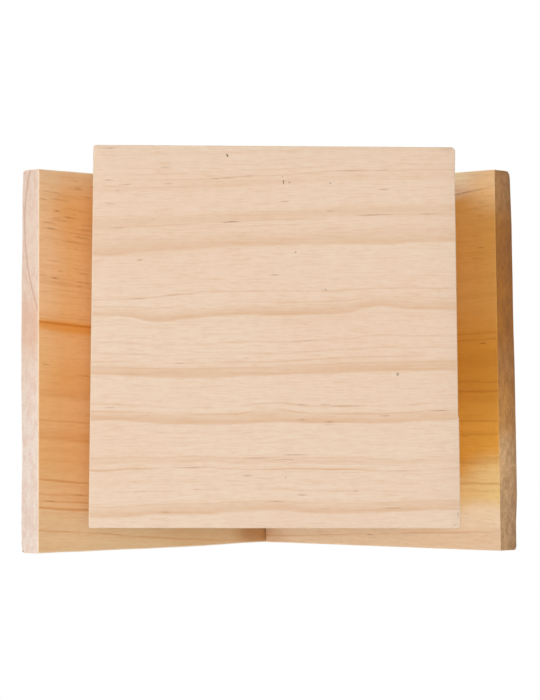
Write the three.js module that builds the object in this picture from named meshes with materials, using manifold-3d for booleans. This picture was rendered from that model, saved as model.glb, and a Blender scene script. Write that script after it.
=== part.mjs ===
// Bee hotel: a small gable-roofed house of bare pine boards with an open front. A drilled
// nesting block fills the lower bay, and bored bamboo canes of many sizes are stacked on the
// shelf above it, up into the gable. Millimetres, +Z up. The open front faces -Y, the origin
// is under the middle of the house, and the base board's underside is at z = 0.

import * as THREE from 'three';
import Module from 'manifold-3d';
import { mergeVertices } from 'three/addons/utils/BufferGeometryUtils.js';

const wasm = await Module();
wasm.setup();

// Base board
const baseWidth = 134;
const baseDepth = 139;
const baseThickness = 10;
const baseCornerRadius = 1.6;

// Walls and back panel. A wall's height is taken at its outer face.
const wallHeight = 100;
const wallThickness = 10;
const backThickness = 8;

// Roof. The eave overhang is level, from a wall's outer face to the board's lower corner.
const roofPitch = THREE.MathUtils.degToRad(45);
const roofThickness = 10;
const eaveOverhang = 24;
const frontOverhang = 12.5;
const eaveRound = 2;
const ridgeGap = 0.5;

// Shelf, let into a groove in each wall that stops before the wall's rear edge
const shelfThickness = 8;
const shelfRecess = 3;
const grooveDepth = 3;

// Nesting block in the bay under the shelf
const blockBayHeight = 44;
const blockRecess = 5;
const holePitch = 14;
const holeDepth = 90;
const rowBoreShares = [0.5, 0.4, 0.33];

// Bamboo canes, in sizes that are taken in turn as the canes are stacked. The typical cane is
// as wide as lets them all into the bay: its diameter comes down in small steps, from a share
// of each cane's room in the bay, until they fit. A size's diameter is a share of the typical
// cane's, and its bore is a share of its own diameter, varied a little from cane to cane.
// Thicker canes have wider bores for their size.
const caneCount = 36;
const caneRoomShare = 1.05;
const caneStepShare = 0.0035;
const caneSteps = 80;
const diameterShares = [0.96, 1, 1.22, 0.78, 0.82, 1.18, 1.06, 1.12, 0.68, 0.74, 0.86];
const boreShares = [0.5, 0.48, 0.57, 0.36, 0.39, 0.55, 0.52, 0.54, 0.32, 0.35, 0.38];
const boreVarietyShares = [1, 0.94, 1.04, 0.97];
const nodeShares = [0.3, 1, 0.55, 0, 0.8];
const caneRecess = 4;
const caneRecessSpread = 6;
const recessShares = [0.2, 0.75, 0, 0.5, 0.95, 0.3, 0.65, 0.1, 0.85];
const caneTaper = 0.5;
const nodeWidth = 4;
const nodeSetback = 9;
const nodeSpread = 8;
const diaphragm = 3;
const mouthChamfer = 0.5;
const screwHeadRoom = 6;

// Keyhole in the back panel, for hanging on a screw
const keyholeEntry = 9;
const keyholeSlot = 5;
const keyholeRise = 9;
const keyholeHeightShare = 0.3;

// Dowels between the base board and the walls
const dowelDiameter = 5;
const dowelLength = 18;
const dowelInBase = 6.5;
const dowelEndInset = 24;

// Clearances and edges. The slack is the part of the fit gap forgiven to rounding in sums.
const fitGap = 0.3;
const slackShare = 0.004;
const edgeEasing = 0.6;
const cornerRound = 1.4;
const cutOverrun = 1;

// Facets
const dowelSides = 12;
const holeSides = 12;
const caneSides = 14;
const roundSteps = 3;

// Levels and faces that the pieces share
const roofDepth = baseDepth + frontOverhang;
const backY = roofDepth / 2;
const innerHalfWidth = baseWidth / 2 - wallThickness;
const slopeGap = fitGap / Math.cos(roofPitch);
const apexZ = baseThickness + wallHeight + slopeGap + (baseWidth / 2) * Math.tan(roofPitch);
const shelfUnderside = baseThickness + blockBayHeight;
const shelfTop = shelfUnderside + shelfThickness;
const interiorDepth = baseDepth - backThickness;

const pine = (colour) => new THREE.MeshStandardMaterial({ color: colour, roughness: 0.72, metalness: 0 });
const bamboo = (colour) => new THREE.MeshStandardMaterial({ color: colour, roughness: 0.6, metalness: 0 });

function roofUnderside(x) {
  return apexZ - Math.abs(x) * Math.tan(roofPitch);
}

function toSolid(geometry) {
  const bare = geometry.clone();
  bare.deleteAttribute('normal');
  bare.deleteAttribute('uv');
  const merged = mergeVertices(bare);
  return new wasm.Manifold(new wasm.Mesh({
    numProp: 3,
    vertProperties: new Float32Array(merged.attributes.position.array),
    triVerts: new Uint32Array(merged.index.array),
  }));
}

function toGeometry(solid) {
  const mesh = solid.getMesh();
  const geometry = new THREE.BufferGeometry();
  geometry.setAttribute('position', new THREE.BufferAttribute(mesh.vertProperties, mesh.numProp));
  geometry.setIndex(new THREE.BufferAttribute(mesh.triVerts, 1));
  geometry.computeVertexNormals();
  return geometry;
}

function cutFrom(geometry, cutters) {
  let solid = toSolid(geometry);
  for (const cutter of cutters) {
    solid = solid.subtract(toSolid(cutter));
  }
  return toGeometry(solid);
}

// Closed outline through the corners, each softened by the radius that stands beside it.
function softenedOutline(corners) {
  const shape = new THREE.Shape();
  corners.forEach(([x, y, radius], i) => {
    const corner = new THREE.Vector2(x, y);
    const last = corners[(i + corners.length - 1) % corners.length];
    const next = corners[(i + 1) % corners.length];
    const towardsLast = new THREE.Vector2(last[0] - x, last[1] - y).setLength(radius);
    const towardsNext = new THREE.Vector2(next[0] - x, next[1] - y).setLength(radius);
    const start = corner.clone().add(towardsLast);
    const end = corner.clone().add(towardsNext);
    if (i === 0) {
      shape.moveTo(start.x, start.y);
    } else {
      shape.lineTo(start.x, start.y);
    }
    if (radius > 0) {
      shape.quadraticCurveTo(x, y, end.x, end.y);
    }
  });
  shape.closePath();
  return shape;
}

// Board of the given outline with its end edges eased, `length` long from z = 0.
function easedExtrusion(shape, length) {
  const geometry = new THREE.ExtrudeGeometry(shape, {
    depth: length - 2 * edgeEasing,
    bevelEnabled: true,
    bevelThickness: edgeEasing,
    bevelSize: edgeEasing,
    bevelOffset: -edgeEasing,
    bevelSegments: 1,
    curveSegments: roundSteps,
  });
  return geometry.translate(0, 0, edgeEasing);
}

// Mesh of an outline drawn in x and z, reaching forward from the back edge at `rearY`.
function placedAcross(name, geometry, material, rearY) {
  const mesh = new THREE.Mesh(geometry, material);
  mesh.name = name;
  mesh.rotation.x = Math.PI / 2;
  mesh.position.y = rearY;
  return mesh;
}

function dowelPlaces() {
  const places = [];
  for (const side of [-1, 1]) {
    for (const [end, run] of [['front', baseDepth - dowelEndInset], ['rear', dowelEndInset]]) {
      places.push({ side, end, x: side * (baseWidth - wallThickness) / 2, run });
    }
  }
  return places;
}

function makeBase() {
  const x = baseWidth / 2;
  const y = baseDepth / 2;
  const r = baseCornerRadius;
  const outline = softenedOutline([[-x, -y, r], [x, -y, r], [x, y, r], [-x, y, r]]);
  const holes = dowelPlaces().map((place) => {
    const radius = dowelDiameter / 2 + fitGap;
    const depth = dowelInBase + fitGap;
    const hole = new THREE.CylinderGeometry(radius, radius, depth + cutOverrun, dowelSides);
    hole.rotateX(Math.PI / 2);
    return hole.translate(place.x, y - place.run, baseThickness - depth + (depth + cutOverrun) / 2);
  });
  const board = new THREE.Mesh(cutFrom(easedExtrusion(outline, baseThickness), holes), pine(0xecd0b4));
  board.name = 'base_board';
  board.position.y = backY - y;
  return board;
}

function makeWall(name, side) {
  const outer = side * baseWidth / 2;
  const inner = side * innerHalfWidth;
  const board = easedExtrusion(softenedOutline([
    [outer, baseThickness, 0],
    [outer, roofUnderside(outer) - slopeGap, 0],
    [inner, roofUnderside(inner) - slopeGap, 0],
    [inner, baseThickness, 0],
  ]), baseDepth);
  const holes = dowelPlaces().filter((place) => place.side === side).map((place) => {
    const radius = dowelDiameter / 2 + fitGap;
    const depth = dowelLength - dowelInBase + fitGap;
    const hole = new THREE.CylinderGeometry(radius, radius, depth + cutOverrun, dowelSides);
    return hole.translate(place.x, baseThickness + depth - (depth + cutOverrun) / 2, place.run);
  });
  const cut = cutFrom(board, [...holes, shelfGroove(side)]);
  return placedAcross(name, cut, pine(0xe6c090), backY);
}

// Cutter for one wall's groove, open at the wall's front edge and stopped behind the shelf.
function shelfGroove(side) {
  const height = shelfThickness + 2 * fitGap;
  const length = interiorDepth + cutOverrun;
  const groove = new THREE.BoxGeometry(grooveDepth + cutOverrun, height, length);
  const x = side * (innerHalfWidth + (grooveDepth - cutOverrun) / 2);
  return groove.translate(x, shelfUnderside + shelfThickness / 2, backThickness + length / 2);
}

// Round entry with a narrower slot rising from it, as a hole for the back panel's outline.
function keyholePath() {
  const entryZ = baseThickness + wallHeight + (apexZ - baseThickness - wallHeight) * keyholeHeightShare;
  const entryRadius = keyholeEntry / 2;
  const slotRadius = keyholeSlot / 2;
  const meet = Math.asin(slotRadius / entryRadius);
  const path = new THREE.Path();
  path.absarc(0, entryZ, entryRadius, Math.PI / 2 + meet, Math.PI / 2 - meet + 2 * Math.PI, false);
  path.absarc(0, entryZ + keyholeRise, slotRadius, 0, Math.PI, false);
  path.closePath();
  return path;
}

function makeBackPanel() {
  const x = innerHalfWidth - fitGap;
  const eave = roofUnderside(x) - slopeGap;
  const outline = softenedOutline([
    [-x, baseThickness, 0],
    [x, baseThickness, 0],
    [x, eave, 0],
    [0, roofUnderside(0) - slopeGap, 0],
    [-x, eave, 0],
  ]);
  outline.holes.push(keyholePath());
  const geometry = new THREE.ExtrudeGeometry(outline, {
    depth: backThickness,
    bevelEnabled: false,
    curveSegments: 2 * roundSteps,
  });
  return placedAcross('back_panel', geometry, pine(0xe2bd8c), backY);
}

function makeShelf() {
  const x = innerHalfWidth + grooveDepth - fitGap;
  const outline = softenedOutline([
    [-x, shelfUnderside, 0],
    [x, shelfUnderside, 0],
    [x, shelfTop, 0],
    [-x, shelfTop, 0],
  ]);
  const length = interiorDepth - fitGap - shelfRecess;
  const rearY = backY - backThickness - fitGap;
  return placedAcross('shelf', easedExtrusion(outline, length), pine(0xe4c193), rearY);
}

function makeNestingBlock() {
  const x = innerHalfWidth - fitGap;
  const height = blockBayHeight - fitGap;
  const length = interiorDepth - fitGap - blockRecess;
  const outline = softenedOutline([
    [-x, baseThickness, cornerRound],
    [x, baseThickness, cornerRound],
    [x, baseThickness + height, cornerRound],
    [-x, baseThickness + height, cornerRound],
  ]);
  const rows = Math.max(1, Math.floor(height / holePitch));
  const holes = [];
  for (let row = 0; row < rows; row += 1) {
    const radius = rowBoreShares[row % rowBoreShares.length] * holePitch / 2;
    const z = baseThickness + height * (row + 1 / 2) / rows;
    const staggered = row % 2;
    const columns = Math.floor((2 * x - holePitch / 2) / holePitch) - staggered;
    for (let column = 0; column < columns; column += 1) {
      const along = (column - (columns - 1) / 2) * holePitch;
      const hole = new THREE.CylinderGeometry(radius, radius, holeDepth + cutOverrun, holeSides);
      hole.rotateX(Math.PI / 2);
      holes.push(hole.translate(along, z, length + cutOverrun - (holeDepth + cutOverrun) / 2));
    }
  }
  const geometry = cutFrom(easedExtrusion(outline, length), holes);
  return placedAcross('nesting_block', geometry, pine(0xdfb985), backY - backThickness - fitGap);
}

// The lapping board runs past the ridge to the outer face of the butting one, whose square
// end stops a small gap short of the lapping board's underside.
function makeRoofBoard(name, side, laps, colour) {
  const down = new THREE.Vector2(side * Math.cos(roofPitch), -Math.sin(roofPitch));
  const out = new THREE.Vector2(side * Math.sin(roofPitch), Math.cos(roofPitch));
  const ridgeAngle = Math.sin(2 * roofPitch);
  const at = (run, rise, radius) => {
    const point = new THREE.Vector2(0, apexZ).addScaledVector(down, run).addScaledVector(out, rise);
    return [point.x, point.y, radius];
  };
  const eaveRun = (baseWidth / 2 + eaveOverhang) / Math.cos(roofPitch);
  const lowerStart = laps ? -roofThickness / ridgeAngle : ridgeGap / ridgeAngle;
  const upperStart = laps
    ? -roofThickness * Math.tan(roofPitch)
    : (ridgeGap + roofThickness * Math.cos(2 * roofPitch)) / ridgeAngle;
  const outline = softenedOutline([
    at(lowerStart, 0, laps ? 0 : cornerRound),
    at(eaveRun, 0, 0),
    at(eaveRun, roofThickness, eaveRound),
    at(upperStart, roofThickness, laps ? cornerRound : 0),
  ]);
  return placedAcross(name, easedExtrusion(outline, roofDepth), pine(colour), backY);
}

function makeDowel(place) {
  const radius = dowelDiameter / 2;
  const top = dowelLength - dowelInBase;
  const profile = [
    [0, -dowelInBase],
    [radius - edgeEasing, -dowelInBase],
    [radius, edgeEasing - dowelInBase],
    [radius, top - edgeEasing],
    [radius - edgeEasing, top],
    [0, top],
  ].map(([r, h]) => new THREE.Vector2(r, h));
  const dowel = new THREE.Mesh(new THREE.LatheGeometry(profile, dowelSides), pine(0xd9b07a));
  dowel.name = `${place.side < 0 ? 'left' : 'right'}_${place.end}_dowel`;
  dowel.rotation.x = Math.PI / 2;
  dowel.position.set(place.x, backY - place.run, baseThickness);
  return dowel;
}

function stackCanes() {
  const eaveZ = roofUnderside(innerHalfWidth);
  const room = innerHalfWidth * (2 * (eaveZ - shelfTop) + apexZ - eaveZ) / caneCount;
  let placed = [];
  for (let step = 0; step < caneSteps && placed.length < caneCount; step += 1) {
    placed = layCanes(caneRoomShare * Math.sqrt(room) * (1 - caneStepShare) ** step);
  }
  return placed;
}

// Places round canes one by one, each at the lowest free spot where it touches two of its
// neighbours: the shelf, a wall, the roof or canes laid before it. A place is the centre of a
// cane's mouth in x and z, and the fit gap stands all round each cane.
function layCanes(typicalDiameter) {
  const lines = [
    { x: 0, z: 1, offset: -shelfTop },
    { x: 1, z: 0, offset: innerHalfWidth },
    { x: -1, z: 0, offset: innerHalfWidth },
    { x: Math.sin(roofPitch), z: -Math.cos(roofPitch), offset: apexZ * Math.cos(roofPitch) },
    { x: -Math.sin(roofPitch), z: -Math.cos(roofPitch), offset: apexZ * Math.cos(roofPitch) },
  ];
  const placed = [];
  let misses = 0;
  for (let turn = 0; misses < diameterShares.length && placed.length < caneCount; turn += 1) {
    const size = turn % diameterShares.length;
    const radius = diameterShares[size] * typicalDiameter / 2;
    const spot = lowestSpot(radius, lines, placed);
    if (spot) {
      placed.push({ x: spot.x, z: spot.z, radius, bore: boreShares[size] * radius });
      misses = 0;
    } else {
      misses += 1;
    }
  }
  return placed;
}

function lowestSpot(radius, lines, placed) {
  const spots = [];
  lines.forEach((line, i) => {
    for (const other of lines.slice(i + 1)) {
      spots.push(...whereLinesCross(line, other, radius + fitGap));
    }
    for (const cane of placed) {
      spots.push(...whereLineMeetsCircle(line, radius + fitGap, cane, radius + cane.radius + fitGap));
    }
  });
  placed.forEach((cane, i) => {
    for (const other of placed.slice(i + 1)) {
      const reach = radius + cane.radius + fitGap;
      spots.push(...whereCirclesCross(cane, reach, other, radius + other.radius + fitGap));
    }
  });
  const closest = fitGap * (1 - slackShare);
  const free = spots.filter((spot) => {
    const offWalls = lines.every((line) => distanceTo(line, spot) >= radius + closest);
    return offWalls && placed.every((cane) => {
      const gap = Math.hypot(spot.x - cane.x, spot.z - cane.z) - cane.radius - radius;
      return gap >= closest;
    });
  });
  free.sort((a, b) => a.z - b.z || a.x - b.x);
  return free[0];
}

function distanceTo(line, spot) {
  return line.x * spot.x + line.z * spot.z + line.offset;
}

function whereLinesCross(a, b, distance) {
  const turn = a.x * b.z - a.z * b.x;
  if (Math.abs(turn) < Number.EPSILON) {
    return [];
  }
  const first = distance - a.offset;
  const second = distance - b.offset;
  return [{ x: (first * b.z - second * a.z) / turn, z: (a.x * second - b.x * first) / turn }];
}

function whereLineMeetsCircle(line, distance, circle, reach) {
  const away = distanceTo(line, circle) - distance;
  const half = Math.sqrt(reach * reach - away * away);
  if (!(half >= 0)) {
    return [];
  }
  const foot = { x: circle.x - away * line.x, z: circle.z - away * line.z };
  return [-half, half].map((step) => ({ x: foot.x - step * line.z, z: foot.z + step * line.x }));
}

function whereCirclesCross(a, reachA, b, reachB) {
  const span = Math.hypot(b.x - a.x, b.z - a.z);
  const along = (reachA * reachA - reachB * reachB + span * span) / (2 * span);
  const half = Math.sqrt(reachA * reachA - along * along);
  if (!(half >= 0)) {
    return [];
  }
  const step = { x: (b.x - a.x) / span, z: (b.z - a.z) / span };
  return [-half, half].map((rise) => ({
    x: a.x + along * step.x - rise * step.z,
    z: a.z + along * step.z + rise * step.x,
  }));
}

// Cane with its axis along y: a bored mouth at the front, a slight taper towards the rear,
// and one node ring, as wide as the mouth, whose wall inside closes the bore.
function makeCane(spot, index) {
  const bore = spot.bore * boreVarietyShares[index % boreVarietyShares.length];
  const recess = caneRecess + caneRecessSpread * recessShares[index % recessShares.length];
  const length = interiorDepth - screwHeadRoom - recess;
  const node = nodeSetback + nodeSpread * nodeShares[index % nodeShares.length];
  const rear = spot.radius - caneTaper;
  const profile = [
    [0, node + diaphragm / 2],
    [bore, node + diaphragm / 2],
    [bore, length - mouthChamfer],
    [bore + mouthChamfer, length],
    [spot.radius, length],
    [rear, node + nodeWidth / 2],
    [spot.radius, node],
    [rear, node - nodeWidth / 2],
    [rear, 0],
    [0, 0],
  ].map(([r, h]) => new THREE.Vector2(r, -h));
  const cane = new THREE.Mesh(new THREE.LatheGeometry(profile, caneSides), bamboo(0xd8b572));
  cane.name = `bamboo_cane_${String(index + 1).padStart(2, '0')}`;
  cane.position.set(spot.x, backY - backThickness - screwHeadRoom, spot.z);
  return cane;
}

const carcass = new THREE.Group();
carcass.add(makeBase(), makeWall('left_wall', -1), makeWall('right_wall', 1));
carcass.add(makeBackPanel(), makeShelf());
carcass.add(...dowelPlaces().map(makeDowel));

const roof = new THREE.Group();
roof.add(makeRoofBoard('right_roof_board', 1, true, 0xdea064));
roof.add(makeRoofBoard('left_roof_board', -1, false, 0xd2a266));

const nests = new THREE.Group();
nests.add(makeNestingBlock());
nests.add(...stackCanes().map(makeCane));

const beeHotel = new THREE.Group();
beeHotel.add(carcass, roof, nests);

export default beeHotel;
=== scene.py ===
"""Bee hotel of bare pine boards: the visual model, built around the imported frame.

The house stands on z = 0 with its open front to -Y and its roof's eaves at +X and -X.
Sizes, places and growth lines are in millimetres in that frame; Blender's are in metres.
"""

import logging
import math
from collections.abc import Callable, Iterator, Sequence
from contextlib import contextmanager
from dataclasses import dataclass, field
from enum import Enum
from typing import ClassVar

import bmesh
import bpy
from mathutils import Euler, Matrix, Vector


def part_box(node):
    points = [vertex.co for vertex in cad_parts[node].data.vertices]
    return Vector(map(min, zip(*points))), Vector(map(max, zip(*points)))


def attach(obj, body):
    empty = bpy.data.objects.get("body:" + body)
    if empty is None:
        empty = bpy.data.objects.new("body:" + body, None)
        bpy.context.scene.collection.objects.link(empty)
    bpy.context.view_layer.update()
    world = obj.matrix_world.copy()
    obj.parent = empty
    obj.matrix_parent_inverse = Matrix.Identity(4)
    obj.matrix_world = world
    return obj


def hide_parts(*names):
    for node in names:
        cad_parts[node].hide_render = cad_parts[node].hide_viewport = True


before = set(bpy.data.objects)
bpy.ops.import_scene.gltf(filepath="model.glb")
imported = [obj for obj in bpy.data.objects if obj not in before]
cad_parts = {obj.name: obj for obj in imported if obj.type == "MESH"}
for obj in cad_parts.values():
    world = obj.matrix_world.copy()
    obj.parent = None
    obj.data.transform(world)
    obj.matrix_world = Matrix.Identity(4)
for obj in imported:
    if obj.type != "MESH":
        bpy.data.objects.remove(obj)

LOG = logging.getLogger("bee_hotel")
MM = 0.001
FAR = 999.0
BODY = "root"
SIDES = {1: "right", -1: "left"}

Pair = tuple[float, float]
Triple = tuple[float, float, float]
Paint = tuple[float, float, float, float]
Piece = bpy.types.Object
Socket = bpy.types.NodeSocket
Feed = Socket | float | Triple | Paint | None
Test = Callable[[Vector], bool]


def tone(red: int, green: int, blue: int) -> Paint:
    """Shader colour of a tone given as a screen shows it, from 0 to 255 in each channel."""
    shares = [channel / 255 for channel in (red, green, blue)]
    linear = [s / 12.92 if s <= 0.04045 else ((s + 0.055) / 1.055) ** 2.4 for s in shares]
    return (linear[0], linear[1], linear[2], 1.0)


def metres(place: Sequence[float]) -> list[float]:
    """A place or move in mm, in Blender's metres."""
    return [part * MM for part in place]


def turned(degrees: Sequence[float]) -> Euler:
    """A turn in degrees as Blender's angles."""
    return Euler([math.radians(angle) for angle in degrees])


def box(node: str) -> tuple[Vector, Vector]:
    """Lowest and highest corner of a CAD node, in mm."""
    low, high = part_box(node)
    return low / MM, high / MM


def steps(low: float, high: float, count: int) -> list[float]:
    """Places that split a length into equal parts, without its ends."""
    return [low + (high - low) * i / count for i in range(1, count)]


def each(kind: type, *rows: Sequence[object]) -> tuple:
    """Things of one kind.

    Args:
        kind: Their dataclass.
        rows: The values of each, in the order of its fields.

    Returns:
        The things.
    """
    return tuple(kind(*row) for row in rows)


class Lie(Enum):
    """How a plank lies: the turn, in degrees, that brings its grain to X and its thickness to Z."""

    LEVEL = (0, 0, 0)
    SIDE = (0, 90, 0)
    REAR = (90, 0, 90)
    ON_EDGE = (-90, 0, 0)
    RIGHT_SLOPE = (0, -45, 0)
    LEFT_SLOPE = (0, 45, 0)

    @property
    def turn(self) -> Euler:
        """The turn as Blender's angles."""
        return turned(self.value)


@dataclass(frozen=True)
class GrowthLine:
    """A growth line of a board, by where it meets the board's face.

    It is darkest at `place`, a distance across the board, fades in over `lead` and ends over
    `tail`. `depth` is how dark it gets, from 0 to 1.
    """

    place: float
    depth: float
    lead: float = 0.5
    tail: float = 0.4


@dataclass(frozen=True)
class Speck:
    """A small dark mark, `long` times as long along the grain as across.

    It is `size` from its middle to its side and `depth` dark. `rise` is its height over the
    board's visible face, or None where it runs through the board.
    """

    along: float
    across: float
    size: float
    long: float
    depth: float
    rise: float | None = 0.0


@dataclass(frozen=True)
class StainAndLight:
    """Broad soft place of another colour on a board, used both for stains in the wood and for
    painted light and painted shade on the board's face.

    Attributes:
        shade: Its colour, as tone takes it.
        along: Its place along the board.
        across: Its place across the board.
        size: How far it reaches across the board.
        long: How many times longer it is along the board.
        depth: How strong it is, from 0 to 1.
    """

    shade: tuple[int, int, int]
    along: float
    across: float
    size: float
    long: float
    depth: float


@dataclass(frozen=True)
class Wave:
    """The wavy course of one growth line, which those near it follow.

    `course` has places (along, across) on the face, and `place` is what the line is called
    in the board's list of growth lines.
    """

    place: float
    course: tuple[Pair, ...]


class Canvas:
    """A node tree of a material or world, with a short method for each kind of node in it.

    A colour ramp takes `lines_per_ramp` growth lines. The grain counts as straight `straight_at`
    mm to both sides of the board's middle.
    """

    lines_per_ramp = 10
    straight_at = 90.0

    def __init__(self, owner: bpy.types.Material | bpy.types.World) -> None:
        """Starts the tree of a new material or world."""
        owner.use_nodes = True
        self.owner = owner
        self.nodes = owner.node_tree.nodes

    @classmethod
    def named(cls, name: str) -> "Canvas":
        """The canvas of a new material of that name."""
        return cls(bpy.data.materials.new(name))

    def add(self, kind: str, *feeds: Feed, **settings: object) -> bpy.types.Node:
        """Adds a node.

        Args:
            kind: The node's type, without its ShaderNode prefix.
            feeds: What its inputs take, in their order; None leaves one alone.
            settings: The node's own properties.

        Returns:
            The new node.
        """
        node = self.nodes.new("ShaderNode" + kind)
        for key, value in settings.items():
            setattr(node, key, value)
        for socket, feed in zip(node.inputs, feeds):
            self.feed(socket, feed)
        return node

    def feed(self, socket: Socket, feed: Feed) -> None:
        """Links a socket to an input, or sets the input's own value."""
        if isinstance(feed, bpy.types.NodeSocket):
            self.owner.node_tree.links.new(feed, socket)
        elif feed is not None:
            socket.default_value = feed

    def calc(self, operation: str, *feeds: Feed) -> Socket:
        """Result of a sum on up to three values."""
        return self.add("Math", *feeds, operation=operation).outputs[0]

    def times(self, value: Feed, *others: Feed) -> Socket:
        """Product of values."""
        for other in others:
            value = self.calc("MULTIPLY", value, other)
        return value

    def line(self, value: Feed, slope: Feed, start: Feed) -> Socket:
        """A value times a slope, on top of a start."""
        return self.calc("MULTIPLY_ADD", value, slope, start)

    def swing(self, value: Feed, reach: Feed, middle: Feed) -> Socket:
        """A value from 0 to 1 made a swing to both sides of a middle, `reach` wide in all."""
        return self.line(self.calc("SUBTRACT", value, 0.5), reach, middle)

    def ease(self, value: Feed, low: Feed, high: Feed, top: float = 1.0) -> Socket:
        """Value that goes smoothly from 0 to `top` while the given one goes from low to high."""
        feeds = (value, low, high, 0.0, top)
        return self.add("MapRange", *feeds, interpolation_type="SMOOTHSTEP").outputs[0]

    def mapped(self, vector: Socket, scale: Triple, start: Triple = (0, 0, 0),
               turn: Euler | None = None) -> Socket:
        """Coordinates scaled, then turned, then moved to start."""
        return self.add("Mapping", vector, start, turn or Euler(), scale).outputs[0]

    def place(self, start: Triple = (0, 0, 0), turn: Euler | None = None) -> Socket:
        """The piece's own coordinates in mm, turned and moved to start."""
        return self.mapped(self.add("TexCoord").outputs["Object"], (1 / MM,) * 3, start, turn)

    def facing(self, normal: str, turn: Euler) -> bpy.types.NodeOutputs:
        """The three parts of one of the surface's normals, after a turn."""
        shown = self.add("NewGeometry").outputs[normal]
        lying = self.add("Mapping", shown, None, turn, vector_type="VECTOR").outputs[0]
        return self.add("SeparateXYZ", lying).outputs

    def spot(self, vector: Socket, mark: Speck | StainAndLight, core: float,
             rise: float | None = None) -> Socket:
        """Mask of a soft mark.

        Args:
            vector: Coordinates along, across and behind the face.
            mark: The mark.
            core: Size of its full middle, as a share of its own.
            rise: Its height over the face, or None where it runs through the board.

        Returns:
            The mark's depth at its middle, falling to 0 past its size.
        """
        start = (-mark.along / mark.long, -mark.across, -(rise or 0))
        near = self.mapped(vector, (1 / mark.long, 1, float(rise is not None)), start)
        gap = self.add("VectorMath", near, operation="LENGTH").outputs["Value"]
        return self.ease(gap, mark.size, mark.size * core, mark.depth)

    def noise(self, vector: Socket, scale: Triple, seed: int, detail: float = 2.0,
              rough: float = 0.5) -> Socket:
        """Noise from 0 to 1 over coordinates stretched by scale."""
        start = (seed * 3.7, seed * 1.9, seed * 2.3)
        feeds = (self.mapped(vector, scale, start), None, 1.0, detail, rough)
        return self.add("TexNoise", *feeds).outputs[0]

    def mix(self, share: Feed, first: Feed, second: Feed) -> Socket:
        """Blend from the first colour to the second by a share."""
        feeds = (share, None, None, None, None, None, first, second)
        return self.add("Mix", *feeds, data_type="RGBA").outputs[2]

    def growth(self, reach: Socket, lines: Sequence[GrowthLine], pith: float,
               sided: bool = True) -> Socket:
        """Darkness of a row of growth lines.

        Args:
            reach: Distance from the pith's line, across the face.
            lines: The growth lines.
            pith: Place of the pith's line across the board.
            sided: Whether the distance is below 0 on one side of the pith, so that a line
                shows on its own side alone.

        Returns:
            A value from 0 to 1.
        """
        rows = sorted(lines, key=lambda line: line.place)
        total: Feed = 0.0
        for first in range(0, len(rows), self.lines_per_ramp):
            stops = []
            for line in rows[first:first + self.lines_per_ramp]:
                at = line.place - pith if sided else abs(line.place - pith)
                way = 1 if at > 0 else -1
                stops += [(at - way * line.lead, 0.0), (at, line.depth),
                          (at + way * line.tail, 0.0)]
            stops.sort()
            low, high = stops[0][0] - 1, stops[-1][0] + 1
            ramp = self.add("ValToRGB", self.add("MapRange", reach, low, high).outputs[0])
            elements = ramp.color_ramp.elements
            for place, depth in stops:
                elements.new((place - low) / (high - low)).color = (depth, depth, depth, 1)
            elements[0].color = elements[-1].color = (0, 0, 0, 1)
            total = self.calc("MAXIMUM", total, ramp.outputs[0])
        return total

    def course(self, share: Socket, wave: Wave, ends: Pair) -> Socket:
        """Place across the board of a wavy growth line.

        Args:
            share: Place along the board, from 0 to 1 between its ends.
            wave: The line.
            ends: The board's ends along the grain.

        Returns:
            The line's place across, in mm.
        """
        low = min(across for _, across in wave.course) - 1
        span = max(across for _, across in wave.course) + 1 - low
        curve = self.add("FloatCurve", 1.0, share)
        points = curve.mapping.curves[0].points
        rows = [((along - ends[0]) / (ends[1] - ends[0]), (across - low) / span)
                for along, across in wave.course]
        points[0].location = (0.0, rows[0][1])
        points[-1].location = (1.0, rows[-1][1])
        for row in rows:
            points.new(*row)
        curve.mapping.update()
        return self.line(curve.outputs[0], span, low)

    def straighten(self, along: Socket, across: Socket, waves: Sequence[Wave]) -> Socket:
        """Place across the board with its wavy grain laid straight.

        Args:
            along: Place along the board.
            across: Place across it.
            waves: The courses that the grain follows, from the highest place down.

        Returns:
            The place, in mm, on which a wave's line has its `place` all along.
        """
        places = [place for wave in waves for place, _ in wave.course]
        ends = (min(places), max(places))
        share = self.add("MapRange", along, *ends).outputs[0]
        last: tuple[float, Feed] = (self.straight_at, self.straight_at)
        total: Feed = self.straight_at
        for wave in (*waves, Wave(-self.straight_at, ())):
            line = self.course(share, wave, ends) if wave.course else wave.place
            step = self.add("MapRange", across, last[1], line, 0.0, wave.place - last[0])
            total = self.calc("ADD", total, step.outputs[0])
            last = (wave.place, line)
        return total

    def finish(self, colour: Feed, roughness: Feed, height: Feed, relief: float,
               sheen: float = 0.35) -> bpy.types.Material:
        """Feeds the shader.

        Args:
            colour: Base colour.
            roughness: Roughness.
            height: Height of the surface's relief, from 0 to 1.
            relief: What a height of 1 is, in mm.
            sheen: Specular level, the same all over.

        Returns:
            The finished material.
        """
        inputs = self.nodes["Principled BSDF"].inputs
        self.feed(inputs["Base Color"], colour)
        self.feed(inputs["Roughness"], roughness)
        inputs["Specular IOR Level"].default_value = sheen
        bump = self.add("Bump")
        bump.inputs["Strength"].default_value = 1.0
        bump.inputs["Distance"].default_value = relief * MM
        self.feed(bump.inputs["Height"], height)
        self.feed(inputs["Normal"], bump.outputs[0])
        return self.owner


@dataclass(frozen=True)
class Grain:
    """A board's grain: what its colours are worked out from.

    Attributes:
        place: Coordinates along, across and behind the face.
        laid: The same with the grain laid straight.
        deep: Distance behind the face.
        reach: Distance from the pith.
        rings: Darkness of the log's rings, from 0 to 1.
        seed: What sets its drift and fibres apart from another board's.
    """

    place: Socket
    laid: Socket
    deep: Socket
    reach: Socket
    rings: Socket
    seed: int


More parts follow.
